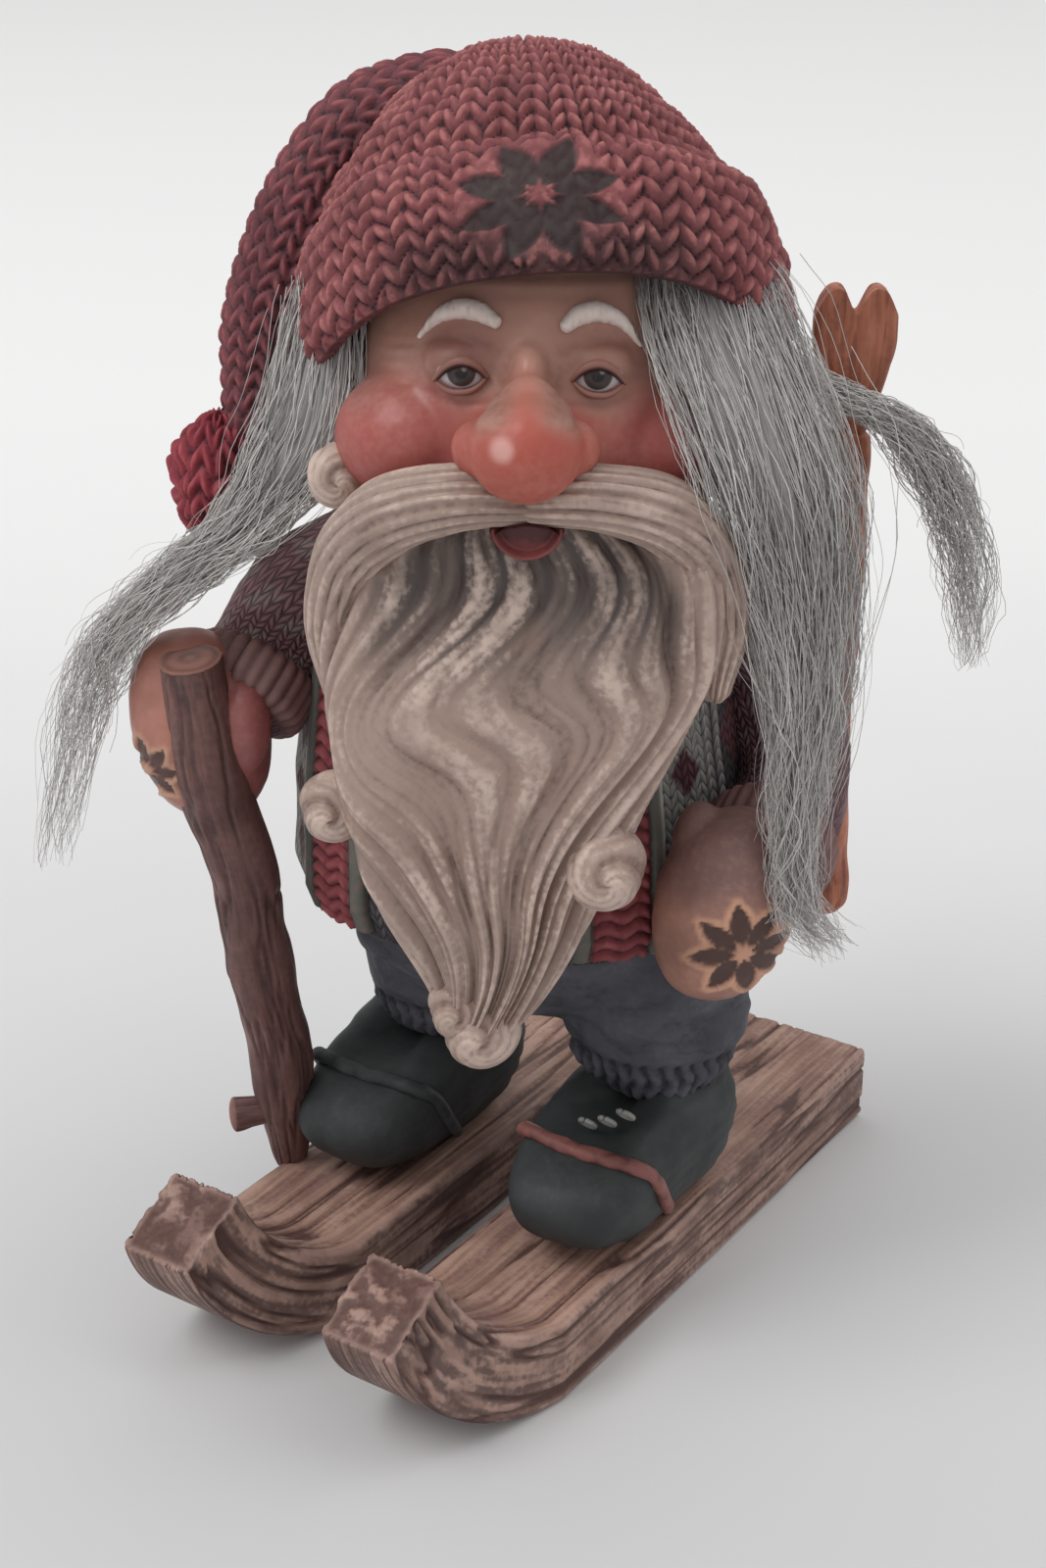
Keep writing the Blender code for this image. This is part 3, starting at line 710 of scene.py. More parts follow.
def aged_paint() -> bpy.types.NodeTree:
    """Matt paint with a dark wash in its hollows and a dry brush over its ridges.

    Returns:
        The node group, made once.
    """
    found = bpy.data.node_groups.get("aged_paint")
    if found:
        return found
    white = (1.0, 1.0, 1.0, 1.0)
    bench, given, result = new_group(
        "aged_paint",
        (("Paint", "Color", white), ("Wash", "Color", white), ("Brush", "Color", white),
         ("Relief", "Float", 1.0), ("Wash Share", "Float", 0.8), ("Brush Share", "Float", 0.5),
         ("Mottle", "Float", 0.3), ("Roughness", "Float", 0.6)),
        (("Color", "Color"), ("Roughness", "Float"), ("Height", "Float")),
    )
    place = bench.add("ShaderNodeTexCoord").outputs["Object"]
    cloud = bench.noise(place, 190.0, 4.0)
    grit = bench.noise(place, 1500.0, 3.0)
    spots = bench.rise(cloud, 0.40, 0.72)
    mottled = bench.blend(bench.times(spots, given.outputs["Mottle"]),
                          given.outputs["Paint"], given.outputs["Wash"])
    uneven = bench.maths("ADD", given.outputs["Relief"],
                         bench.rise(grit, 0.3, 0.7, -0.10, 0.10))
    hollow = bench.rise(uneven, 0.02, 0.62, 1.0, 0.0)
    washed = bench.blend(bench.times(hollow, given.outputs["Wash Share"]),
                         mottled, given.outputs["Wash"])
    ridge = bench.times(bench.rise(uneven, 0.66, 1.0), bench.rise(cloud, 0.62, 0.38, 0.35, 1.0))
    brushed = bench.blend(bench.times(ridge, given.outputs["Brush Share"]),
                          washed, given.outputs["Brush"])
    rough = bench.maths("ADD", given.outputs["Roughness"], bench.rise(cloud, 0.3, 0.7, -0.08, 0.10))
    height = bench.maths("ADD", bench.times(grit, 0.6), bench.times(cloud, 0.4))
    bench.feed(result, {"Color": brushed, "Roughness": rough, "Height": height})
    return bench.tree


def knitted_yarn() -> bpy.types.NodeTree:
    """Rows of V-shaped stitches, counted by a UV map.

    Returns:
        The node group, made once.
    """
    found = bpy.data.node_groups.get("knitted_yarn")
    if found:
        return found
    bench, given, result = new_group(
        "knitted_yarn", (("Place", "Vector", None),), (("Height", "Float"),))
    split = bench.add("ShaderNodeSeparateXYZ", {0: given.outputs["Place"]})
    off_middle = bench.maths("SUBTRACT", bench.maths("FRACT", split.outputs[0]), 0.5)
    aside = bench.times(bench.maths("ABSOLUTE", off_middle), 2.0)
    phase = bench.maths("FRACT", bench.maths(
        "SUBTRACT", split.outputs[1], bench.times(aside, 0.85)))
    over = bench.maths("SINE", bench.times(phase, math.pi))
    along = bench.maths("SINE", bench.times(aside, math.pi))
    height = bench.times(bench.maths("POWER", over, 0.8), bench.maths("POWER", along, 0.5))
    bench.feed(result, {"Height": height})
    return bench.tree


def wood_fibres() -> bpy.types.NodeTree:
    """Long fibres and darker lines that run along the grain of a carved piece.

    Returns:
        The node group, made once.
    """
    found = bpy.data.node_groups.get("wood_fibres")
    if found:
        return found
    bench, given, result = new_group(
        "wood_fibres", (("Grain", "Vector", None), ("Stretch", "Float", 0.08)),
        (("Fibre", "Float"), ("Line", "Float")))
    split = bench.add("ShaderNodeSeparateXYZ", {0: given.outputs["Grain"]})
    along = bench.times(split.outputs[2], given.outputs["Stretch"])
    place = bench.add("ShaderNodeCombineXYZ",
                      {0: split.outputs[0], 1: split.outputs[1], 2: along}).outputs[0]
    fibre = bench.noise(place, 2.2, 5.0)
    line = bench.rise(bench.noise(place, 1.3, 2.0), 0.50, 0.62)
    bench.feed(result, {"Fibre": fibre, "Line": line})
    return bench.tree


@dataclass(frozen=True)
class Finish:
    """Matt paint on the casting.

    Attributes:
        name: The material's name.
        paint: Its main colour.
        wash: The colour that lies in the hollows.
        brush: The colour that catches the ridges.
        layers: Masks of the surface and the colour that each of them paints.
        wash_share: How strong the wash is.
        brush_share: How strong the dry brush is.
        mottle: How uneven the main colour is.
        rough: The paint's roughness.
        coat: How much varnish lies over it.
        tooth: The depth of its fine roughness, in millimetres.
        yarn: The depth of knitted stitches that its UV map counts, in millimetres.
        slot: The record's slot that it belongs to. Not used.
    """

    name: str
    paint: Colour
    wash: Colour
    brush: Colour
    layers: Layers = ()
    wash_share: float = 0.85
    brush_share: float = 0.5
    mottle: float = 0.3
    rough: float = 0.6
    coat: float = 0.0
    tooth: float = 0.05
    yarn: float = 0.0
    slot: Slot = Slot.RESIN

    def painted(self, bench: Bench, colour: object) -> object:
        """Lays the painted layers over a colour.

        Args:
            bench: A bench on the material's tree.
            colour: The colour, as a value or a socket.

        Returns:
            The same kind of colour.
        """
        for mask, layer in self.layers:
            colour = bench.blend(bench.attribute(mask), colour, layer)
        return colour

    def colour(self, bench: Bench) -> object:
        """The main colour with its painted layers, as a value or a socket."""
        return self.painted(bench, self.paint)

    def material(self) -> bpy.types.Material:
        """Makes the material, once for all pieces that wear it.

        Returns:
            The material.
        """
        found = bpy.data.materials.get(self.name)
        if found:
            return found
        made = bpy.data.materials.new(self.name)
        made.use_nodes = True
        self.lay(Bench(made.node_tree), made.node_tree.nodes["Principled BSDF"])
        return made

    def lay(self, bench: Bench, shader: bpy.types.Node) -> None:
        """Lays the paint's nodes.

        Args:
            bench: A bench on the material's tree.
            shader: The material's shader.
        """
        relief: object = bench.attribute("relief")
        depth: object = None
        if self.yarn > 0.0:
            place = bench.add("ShaderNodeUVMap", uv_map="stitches").outputs[0]
            knit = bench.add("ShaderNodeGroup", node_tree=knitted_yarn())
            bench.feed(knit, {"Place": place})
            depth = knit.outputs["Height"]
            relief = bench.times(relief, bench.rise(depth, 0.1, 0.9, 0.25, 1.0))
        group = bench.add("ShaderNodeGroup", node_tree=aged_paint())
        bench.feed(group, {
            "Paint": self.colour(bench), "Wash": self.wash, "Brush": self.brush, "Relief": relief,
            "Wash Share": self.wash_share, "Brush Share": self.brush_share,
            "Mottle": self.mottle, "Roughness": self.rough})
        bump = bench.add("ShaderNodeBump", {
            "Height": group.outputs["Height"], "Distance": self.tooth * METRES, "Strength": 0.8})
        if depth is not None:
            bump = bench.add("ShaderNodeBump", {
                "Height": depth, "Distance": self.yarn * METRES, "Strength": 1.0,
                "Normal": bump.outputs[0]})
        bench.feed(shader, {
            "Base Color": group.outputs["Color"], "Roughness": group.outputs["Roughness"],
            "Normal": bump.outputs[0], "Specular IOR Level": 0.35,
            "Coat Weight": self.coat, "Coat Roughness": 0.18})


@dataclass(frozen=True)
class WoodFinish(Finish):
    """Painted wood grain: fibres of two colours, a dark wash and worn ridges.

    Attributes:
        fibre: The lighter fibres' colour.
        line: The darker lines' colour.
        stretch: How much shorter the grain is along than across.
    """

    fibre: Colour = (0.5, 0.3, 0.2, 1.0)
    line: Colour = (0.1, 0.05, 0.04, 1.0)
    stretch: float = 0.08

    def colour(self, bench: Bench) -> object:
        """The grain's colour under the wash, with the painted layers.

        Args:
            bench: A bench on the material's tree.

        Returns:
            The colour's socket.
        """
        group = bench.add("ShaderNodeGroup", node_tree=wood_fibres())
        bench.feed(group, {"Grain": bench.attribute("grain", "Vector"), "Stretch": self.stretch})
        light = bench.rise(group.outputs["Fibre"], 0.40, 0.66)
        dark = bench.times(group.outputs["Line"], 0.55)
        grained = bench.blend(dark, bench.blend(light, self.paint, self.fibre), self.line)
        return self.painted(bench, grained)


@dataclass(frozen=True)
class FibreFinish(Finish):
    """Grey hair fibre: each fibre has its own grey."""

    slot: Slot = Slot.FIBRE

    def lay(self, bench: Bench, shader: bpy.types.Node) -> None:
        """Lays the fibres' nodes.

        Args:
            bench: A bench on the material's tree.
            shader: The material's shader.
        """
        place = bench.add("ShaderNodeTexCoord").outputs["Object"]
        cloud = bench.rise(bench.noise(place, 260.0), 0.35, 0.65)
        own = bench.blend(bench.attribute("shade"), self.wash, self.brush)
        colour = bench.blend(bench.times(cloud, self.mottle), own, self.paint)
        rough = bench.rise(bench.noise(place, 900.0), 0.3, 0.7, self.rough - 0.1, self.rough + 0.1)
        bench.feed(shader, {"Base Color": colour, "Roughness": rough, "Specular IOR Level": 0.4})


HAT_YARN = Finish(
    "hat_yarn", tint(138, 76, 79), tint(56, 32, 37), tint(186, 120, 116),
    layers=(("shade", tint(78, 54, 55)), ("star", tint(62, 58, 56))),
    wash_share=1.0, brush_share=0.7, mottle=0.45, rough=0.68)
# The tail's yarn is a darker copy of the crown's yarn: painted shade, as the tail hangs in shadow.
TAIL_YARN = Finish(
    "tail_yarn", tint(118, 66, 72), tint(52, 34, 40), tint(168, 92, 94),
    wash_share=0.95, brush_share=0.6, mottle=0.45, rough=0.7)
TASSEL_YARN = Finish(
    "tassel_yarn", tint(150, 58, 68), tint(74, 30, 40), tint(186, 92, 96),
    wash_share=0.95, brush_share=0.5, mottle=0.4, rough=0.62)
SKIN = Finish(
    "face_paint", tint(190, 144, 128), tint(112, 76, 68), tint(206, 162, 146),
    layers=(("socket", tint(124, 79, 71)), ("blush", tint(162, 72, 70)),
            ("nose", tint(174, 84, 71)), ("glint", tint(226, 178, 170)),
            ("shade", tint(110, 84, 77))),
    wash_share=0.7, brush_share=0.16, mottle=0.12, rough=0.44, coat=0.08, tooth=0.02)
# The lids' paint is a darker copy of the face paint: painted shade, matching the painted shade round
# the eyes.
LID = Finish(
    "eyelid_paint", tint(142, 98, 88), tint(56, 36, 36), tint(162, 118, 106),
    layers=(("lash", tint(52, 34, 34)),), wash_share=0.6, mottle=0.1, rough=0.45, tooth=0.01)
EYE = Finish(
    "eye_enamel", tint(188, 176, 178), tint(110, 92, 96), tint(214, 206, 206),
    layers=(("iris", tint(62, 54, 50)), ("pupil", tint(22, 19, 19)), ("shade", tint(88, 64, 64)),
            ("spark", tint(190, 188, 188))),
    wash_share=0.5, mottle=0.05, rough=0.38, coat=0.08, tooth=0.004)
MOUTH = Finish(
    "mouth_enamel", tint(128, 66, 66), tint(62, 30, 32), tint(156, 88, 84),
    wash_share=0.8, mottle=0.25, rough=0.4, tooth=0.01)
BROW = Finish(
    "brow_paint", tint(224, 208, 200), tint(170, 150, 142), tint(236, 226, 220),
    wash_share=0.5, mottle=0.15, rough=0.55, tooth=0.03)
# The second layer is uneven tone on the beard, and painted shade under the nose and in the curls'
# grooves.
BEARD = Finish(
    "beard_paint", tint(168, 145, 134), tint(86, 68, 64), tint(216, 194, 181),
    layers=(("shade", tint(62, 56, 56)), ("stain", tint(146, 116, 103))),
    wash_share=0.9, brush_share=0.8, mottle=0.12, rough=0.42, coat=0.08, tooth=0.015)
SWEATER = Finish(
    "sweater_yarn", tint(70, 68, 72), tint(36, 34, 38), tint(112, 104, 104),
    layers=(("maroon", tint(104, 52, 60)), ("strip", tint(172, 172, 166)),
            ("diamond", tint(92, 42, 50)), ("piping", tint(200, 198, 192))),
    wash_share=0.9, brush_share=0.5, mottle=0.35, rough=0.7, yarn=0.22)
BAND = Finish(
    "band_yarn", tint(134, 62, 67), tint(58, 32, 37), tint(172, 102, 101),
    layers=(("border", tint(92, 104, 96)), ("piping", tint(196, 196, 188))),
    wash_share=0.95, brush_share=0.5, mottle=0.25, rough=0.66)
SLEEVE = Finish(
    "sleeve_yarn", tint(120, 86, 91), tint(62, 50, 54), tint(150, 114, 115),
    layers=(("rings", tint(150, 146, 140)),),
    wash_share=0.9, brush_share=0.5, mottle=0.5, rough=0.7, yarn=0.3)
CUFF = Finish(
    "cuff_yarn", tint(122, 92, 90), tint(70, 46, 48), tint(150, 116, 110),
    wash_share=0.8, brush_share=0.4, mottle=0.4, rough=0.66)
MITTEN_RED = Finish(
    "mitten_orange_red", tint(176, 120, 106), tint(94, 64, 58), tint(204, 144, 126),
    layers=(("flush", tint(144, 78, 84)), ("petal", tint(62, 42, 38)),
            ("outline", tint(206, 164, 136))),
    wash_share=0.7, brush_share=0.35, mottle=0.35, rough=0.42, coat=0.12)
MITTEN_BROWN = Finish(
    "mitten_orange_brown", tint(168, 124, 110), tint(88, 66, 61), tint(204, 156, 134),
    layers=(("flush", tint(126, 99, 99)), ("petal", tint(62, 42, 38)),
            ("outline", tint(220, 168, 138))),
    wash_share=0.7, brush_share=0.4, mottle=0.35, rough=0.5)
TROUSERS = Finish(
    "trouser_cloth", tint(80, 80, 87), tint(38, 38, 43), tint(108, 110, 118),
    wash_share=0.9, brush_share=0.4, mottle=0.3, rough=0.74, tooth=0.10)
BOOT = Finish(
    "boot_leather", tint(56, 59, 60), tint(28, 28, 29), tint(86, 90, 92),
    wash_share=0.8, brush_share=0.35, mottle=0.35, rough=0.6, tooth=0.05)
STRAP = Finish(
    "strap_leather", tint(134, 84, 78), tint(62, 36, 36), tint(168, 116, 106),
    wash_share=0.8, mottle=0.3, rough=0.5)
LACE = Finish(
    "lace_cord", tint(142, 142, 138), tint(70, 70, 70), tint(172, 172, 168),
    wash_share=0.8, mottle=0.3, rough=0.6)
# The skis' first layer is painted shade on their curled tips and sides.
SKI_WOOD = WoodFinish(
    "ski_wood", tint(144, 109, 98), tint(74, 50, 47), tint(200, 166, 152),
    layers=(("dusk", tint(68, 51, 51)), ("ember", tint(98, 67, 60)), ("rim", tint(166, 136, 125))),
    wash_share=0.8, brush_share=0.55, mottle=0.18, rough=0.58,
    fibre=tint(180, 144, 124), line=tint(112, 78, 70), stretch=0.05)
STAFF_WOOD = WoodFinish(
    "staff_wood", tint(106, 76, 73), tint(56, 44, 45), tint(142, 108, 101),
    layers=(("cut", tint(146, 102, 90)), ("ring", tint(106, 70, 62))),
    wash_share=0.7, brush_share=0.35, mottle=0.35, rough=0.52,
    fibre=tint(120, 87, 82), line=tint(82, 58, 56), stretch=0.12)
STICK_WOOD = WoodFinish(
    "stick_wood", tint(166, 102, 78), tint(82, 44, 36), tint(196, 134, 104),
    wash_share=0.7, brush_share=0.4, mottle=0.25, rough=0.5,
    fibre=tint(184, 116, 90), line=tint(120, 66, 52), stretch=0.12)
HAIR = FibreFinish(
    "grey_fibre", tint(188, 184, 182), tint(134, 131, 130), tint(232, 229, 226),
    mottle=0.4, rough=0.55)
HAIR_CORE = FibreFinish(
    "grey_fibre_mass", tint(142, 140, 139), tint(112, 110, 110), tint(172, 169, 168),
    mottle=0.4, rough=0.7)


# The figure's sub-assemblies


@dataclass
class Hat:
    """The knitted hat: crown and cuff, the folded tail and its tassel."""

    half_width: float = 21.3
    half_depth: float = 25.5
    lean: float = math.radians(29)
    forward: float = 8.0
    edge_middle: float = 96.1
    tilt: float = 1.3
    shift: float = 0.7
    columns: int = 46
    row: float = 1.82
    stitch_depth: float = 1.0
    shown: float = 0.90
    star_up: float = 6.2
    star_radius: float = 7.2
    star_tall: float = 1.35
    star_start: float = 22.5
    tuck: float = 1.7
    hem_sag: float = 2.2
    tail_columns: int = 12
    tail_row: float = 1.9
    outline: tuple = ((27.8, 0.0), (26.2, .275), (22.8, .540), (18.7, .725), (15.0, .835),
                      (11.9, .885), (10.6, .950), (7.5, 1.005), (3.2, 1.012), (1.2, .995),
                      (0.2, .955))
    inside: tuple = ((0.2, .955), (0.4, .91), (2.0, .86), (5.0, .70), (7.0, 0.0))
    tail_path: tuple = ((-1.5, -3.0, 113.5), (-4.5, -3.0, 115.6), (-8.5, -3.0, 116.2),
                        (-13.5, -3.0, 114.4), (-18.0, -3.0, 110.6), (-21.2, -2.5, 105.2),
                        (-23.4, -2.0, 99.0), (-24.4, -1.5, 93.0), (-24.9, -0.5, 88.0))
    tail_radii: tuple = (3.6, 4.3, 4.7, 4.7, 4.6, 4.6, 4.7, 4.6, 4.0)
    tassel_centre: tuple = (-29.3, 0.0, 82.5)
    tassel_radii: tuple = (4.6, 4.6, 6.4)

    def on_hat(self, lateral: np.ndarray, forward: np.ndarray, up: np.ndarray) -> np.ndarray:
        """Points of the hat's leaning frame in the part's frame.

        Args:
            lateral: Distance towards the viewer's right.
            forward: Distance out of its front.
            up: Distance above its edge, along its lean.

        Returns:
            The points.
        """
        return Storey.HEAD.place(
            self.shift + lateral - up * self.tilt / self.half_width,
            self.forward + forward * math.cos(self.lean) - up * math.sin(self.lean),
            self.edge_middle + forward * math.sin(self.lean) + up * math.cos(self.lean)
            + self.tilt * lateral / self.half_width,
        )

    def crown(self) -> bpy.types.Object:
        """The crown and its turned-up cuff, with the star knitted into its front.

        Returns:
            The piece.
        """
        ball = Ball(416, 230)
        outer = np.clip(ball.drop / self.shown, 0.0, 1.0)
        rows = np.array(self.outline)
        fine = through(rows, np.linspace(0, len(rows) - 1, 300))
        steps = np.hypot(np.diff(fine[:, 0]), np.diff(fine[:, 1]) * self.half_width)
        reach = np.concatenate(([0.0], np.cumsum(steps)))
        walk = outer * reach[-1]
        up, share = np.interp(walk, reach, fine[:, 0]), np.interp(walk, reach, fine[:, 1])
        inner = np.clip((ball.drop - self.shown) / (1.0 - self.shown), 0.0, 1.0)
        table = np.array(self.inside)
        marks = np.linspace(0.0, 1.0, len(table))
        hidden = ball.drop > self.shown
        up = np.where(hidden, np.interp(inner, marks, table[:, 0]), up)
        share = np.where(hidden, np.interp(inner, marks, table[:, 1]), share)
        above = reach[-1] - walk
        sideways = np.sin(ball.turn)
        lateral = self.half_width * share * sideways
        tucked = eased(up, 11.0, 14.5) * eased(up, 27.0, 21.0) * eased(sideways, 0.1, 0.85)
        sag = self.hem_sag * sideways**4 * np.where(hidden, 1.0, eased(above, 12.0, 1.0))
        ball.points = self.on_hat(lateral - self.tuck * tucked,
                                  self.half_depth * share * np.cos(ball.turn), up - sag)
        slack = layered(ball.points / 9.0, 2, 3.0) - 0.5
        yarn = np.where(share > 0.50, 1.0, np.where(share > 0.24, 0.5, 0.25))
        column = ball.turn / (2 * math.pi) * self.columns * yarn + slack * 0.7
        knit = stitches(column, above / self.row + slack * 1.1)
        x = lateral / self.star_radius
        y = (above - self.star_up) / self.star_radius * self.star_tall
        inside = rosette(x, y, self.star_start)
        front = (np.cos(ball.turn) > 0.3) & ~hidden
        petal = eased(inside, -0.02, 0.03) * front
        disc = eased(np.hypot(x, y), 1.1, 0.85) * front
        knit = knit * (1.0 - 0.72 * disc) + (0.62 - 0.42 * petal) * disc
        seen = np.where(hidden, 0.0, 1.0) * eased(above, 0.0, 0.8)
        lumps = layered(ball.points / 5.0, 2, 4.0) - 0.5
        ball.swell(((knit - 0.6) * self.stitch_depth + slack * 1.2 + lumps * 1.3) * seen)
        low = eased(above, 7.5, 1.0) * eased(np.cos(ball.turn), 0.62, 0.98)
        return ball.dress(
            "hat", HAT_YARN, star=petal * 0.95, shade=low * 0.85,
            relief=np.where(hidden, 0.3, knit))

    def tail(self) -> bpy.types.Object:
        """The hat's long point, folded over the crown and hanging beside the head.

        Returns:
            The piece.
        """
        route = Route(knots_of(self.tail_path, self.tail_radii))
        caps = (0.10, 0.10)
        tail = limb(route, 104, 230, caps, (0.8, 0.7))
        slack = layered(tail.points / 8.0, 2, 5.0) - 0.5
        knit = stitches(tail.turn / (2 * math.pi) * self.tail_columns + slack * 0.3,
                        tail.capped(*caps)[0] * route.length / self.tail_row + slack * 0.5)
        tail.swell((knit - 0.6) * 0.8 + slack * 1.2)
        return tail.dress("hat_tail", TAIL_YARN, relief=knit)

    def tassel(self) -> bpy.types.Object:
        """The yarn tassel at the tail's end.

        Returns:
            The piece.
        """
        ball = lump(self.tassel_centre, self.tassel_radii, 140, 90)
        slack = layered(ball.points / 3.0, 2, 8.0) - 0.5
        relief = stitches(ball.turn / (2 * math.pi) * 11 + slack, ball.drop * 8.0 + slack)
        ball.swell((relief - 0.5) * 0.8 + slack * 2.2)
        return ball.dress("hat_tassel", TASSEL_YARN, relief=relief)

    def build(self) -> None:
        """Builds the hat's pieces."""
        self.crown()
        self.tail()
        self.tassel()


@dataclass
class Face:
    """The face under the hat: skin, eyes, brows and mouth."""

    middle: tuple = (0.7, 9.5, 95.0)
    radii: tuple = (16.5, 19.5, 22.5)
    lean: float = 0.22
    eye_height: float = 99.2
    eye_spread: float = 11.2
    eye_shift: float = -0.5
    nose_half: float = 4.7
    cheek: tuple = (10.4, 19.8, 92.2)
    cheek_half: float = 7.4
    nose_drop: float = 4.0
    nose_reach: float = 5.2
    iris_radius: float = 1.19
    mouth_middle: tuple = (-0.7, 33.0, 88.2)
    mouth_half: float = 3.05
    brow_paths: tuple = (
        (Side.RIGHT, ((-3.2, 103.2), (-4.7, 103.9), (-6.4, 103.9), (-8.1, 103.0), (-9.6, 101.3))),
        (Side.LEFT, ((2.4, 103.0), (3.7, 103.8), (5.3, 103.9), (7.1, 103.0), (8.6, 101.1))))
    brow_radii: tuple = (0.55, 0.84, 0.86, 0.54, 0.18)

    def front(self, lateral: np.ndarray | float, height: np.ndarray | float) -> np.ndarray:
        """How far forward the bare face reaches at a place.

        Args:
            lateral: The place's distance towards the viewer's right.
            height: Its height.

        Returns:
            The face's forward distance there.
        """
        rise = (np.asarray(height, float) - self.middle[2]) / self.radii[2]
        aside = (np.asarray(lateral, float) - self.middle[0]) / self.radii[0]
        ring = np.sqrt(np.maximum(0.0, 1.0 - rise**2 - aside**2))
        return self.middle[1] + self.radii[1] * ring - self.lean * rise * self.radii[2]

    def skull(self) -> Ball:
        """The head, leaning back so that the chin comes forward.

        Returns:
            The ball.
        """
        ball = Ball(80, 60)
        rise = self.radii[2] * ball.rise
        ball.points = Storey.HEAD.place(
            self.middle[0] + self.radii[0] * ball.ring * np.sin(ball.turn),
            self.middle[1] + self.radii[1] * ball.ring * np.cos(ball.turn) - self.lean * rise,
            self.middle[2] + rise)
        return ball

    def skin(self) -> bpy.types.Object:
        """The skin over skull, cheeks and nose: sockets, creases, blush, and painted shade round the
        eyes.

        Returns:
            The piece.
        """
        centre = self.middle[0]
        nose_height = self.eye_height - self.nose_drop
        nose_front = float(self.front(centre, nose_height)) + self.nose_reach
        bridge_front = float(self.front(centre, self.eye_height))
        half = self.nose_half
        parts: list[Surface] = [
            self.skull(),
            lump((-0.8, nose_front, nose_height), (half, half, half * 0.95)),
            lump((-0.6, nose_front - 2.6, nose_height + 1.2), (3.9, 3.6, 4.2)),
            lump((-0.5, bridge_front - 0.8, self.eye_height - 1.8),
                 (half * 0.56, half * 0.75, half * 0.95))]
        for side in Side:
            nostril = (side.value * half * 0.66 - 0.8, nose_front - 2.4, nose_height - 0.7)
            parts.append(lump(nostril, (3.0, 3.1, 2.6)))
            parts.append(lump(
                (centre + side.value * self.cheek[0], *self.cheek[1:]),
                (self.cheek_half, self.cheek_half, self.cheek_half * 0.82)))
            middle = side.value * self.eye_spread / 2 + self.eye_shift
            reach = float(self.front(middle, self.eye_height)) - 2.5
            parts.append(lump((middle, reach, self.eye_height + 0.1), (3.3, 3.0, 2.7)))
        skin = fused(parts, 0.34, 16)
        lateral, forward, height = Storey.HEAD.split(skin.points)
        ahead = eased(forward, 14.0, 19.0)
        dent, socket, blush = np.zeros((3, len(lateral)))
        for side in Side:
            x = (lateral - side.value * self.eye_spread / 2 - self.eye_shift) * side.value
            z = height - self.eye_height
            inner = np.exp(-((x + 3.1) / 1.9) ** 2 - ((z - 0.4) / 3.2) ** 2)
            over = hill(z - 2.5 + 0.06 * x**2, 0.35) * eased(np.abs(x), 3.4, 2.2)
            under = hill(z + 2.3 - 0.07 * x**2, 0.30) * eased(np.abs(x - 0.3), 3.4, 1.8)
            dent += 0.5 * inner + 0.14 * over + 0.16 * under
            # Painted shade: the eye sockets, their inner corners and the creases over and under each
            # eye are painted darker.
            socket += 0.3 * inner + 0.15 * over + 0.4 * under
            socket += 1.1 * np.exp(-(x / 4.6) ** 2 - ((z - 0.2) / 4.0) ** 2)
            cheek = np.hypot((lateral - centre - side.value * (self.cheek[0] + 1.6)) / 8.6,
                             (height - self.cheek[2] + 0.2) / 5.8)
            blush += eased(cheek, 1.35, 0.55)
            fan = ridges((z + 0.25 * x) * 3.2, 3) * eased(x, 3.0, 4.2) * eased(x, 7.5, 5.5)
            dent += 0.10 * fan * eased(np.abs(z), 2.6, 1.2)
        wrinkle = np.sin((height - 104.5) * 3.4 + 0.02 * lateral**2) * eased(height, 104.6, 106.0)
        dent += 0.10 * wrinkle * eased(np.abs(lateral), 11.0, 7.0)
        wings = 7.6 - 1.9 * np.clip(height - nose_height - 0.3, 0.0, 2.6)
        nose = np.hypot((lateral + 0.8) / wings, (height - nose_height + 0.2) / 5.4)
        nose_mask = eased(nose, 1.25, 0.5) * eased(forward, 25.6, 28.4)
        skin.swell(-dent * ahead + (layered(skin.points / 1.6, 3, 2.0) - 0.5) * 0.10)
        glint = np.hypot(lateral + 2.75, (height - nose_height - 1.0) * 0.95)
        temple = eased(np.abs(lateral - centre), 12.5, 16.0) * eased(height, 94.0, 98.0)
        temple = temple + eased(height, 103.5, 108.0)
        off_nose = 1.0 - 0.6 * eased(forward, 25.0, 27.5)
        return skin.dress(
            "face", SKIN, socket=np.clip(socket * ahead * off_nose, 0, 0.9),
            blush=np.clip(blush * ahead, 0, 0.9), nose=nose_mask,
            glint=eased(glint, 1.35, 0.5) * eased(forward, 28.0, 30.0) * 0.7,
            shade=np.clip(temple, 0, 1) * 0.6, relief=0.84 - dent * 0.9)

    def eye(self, side: Side) -> None:
        """One eye: an almond of enamel with its iris, and the two lids round it.

        Args:
            side: Which eye.
        """
        middle = side.value * self.eye_spread / 2 + self.eye_shift
        depth = float(self.front(middle, self.eye_height)) + 0.35
        ball = Ball(72, 56)
        x = 2.05 * ball.ring * np.sin(ball.turn)
        lid = np.where(np.cos(ball.turn) > 0, 1.45, 1.25)
        z = lid * ball.ring * np.cos(ball.turn) * (1.0 - 0.10 * np.abs(x))
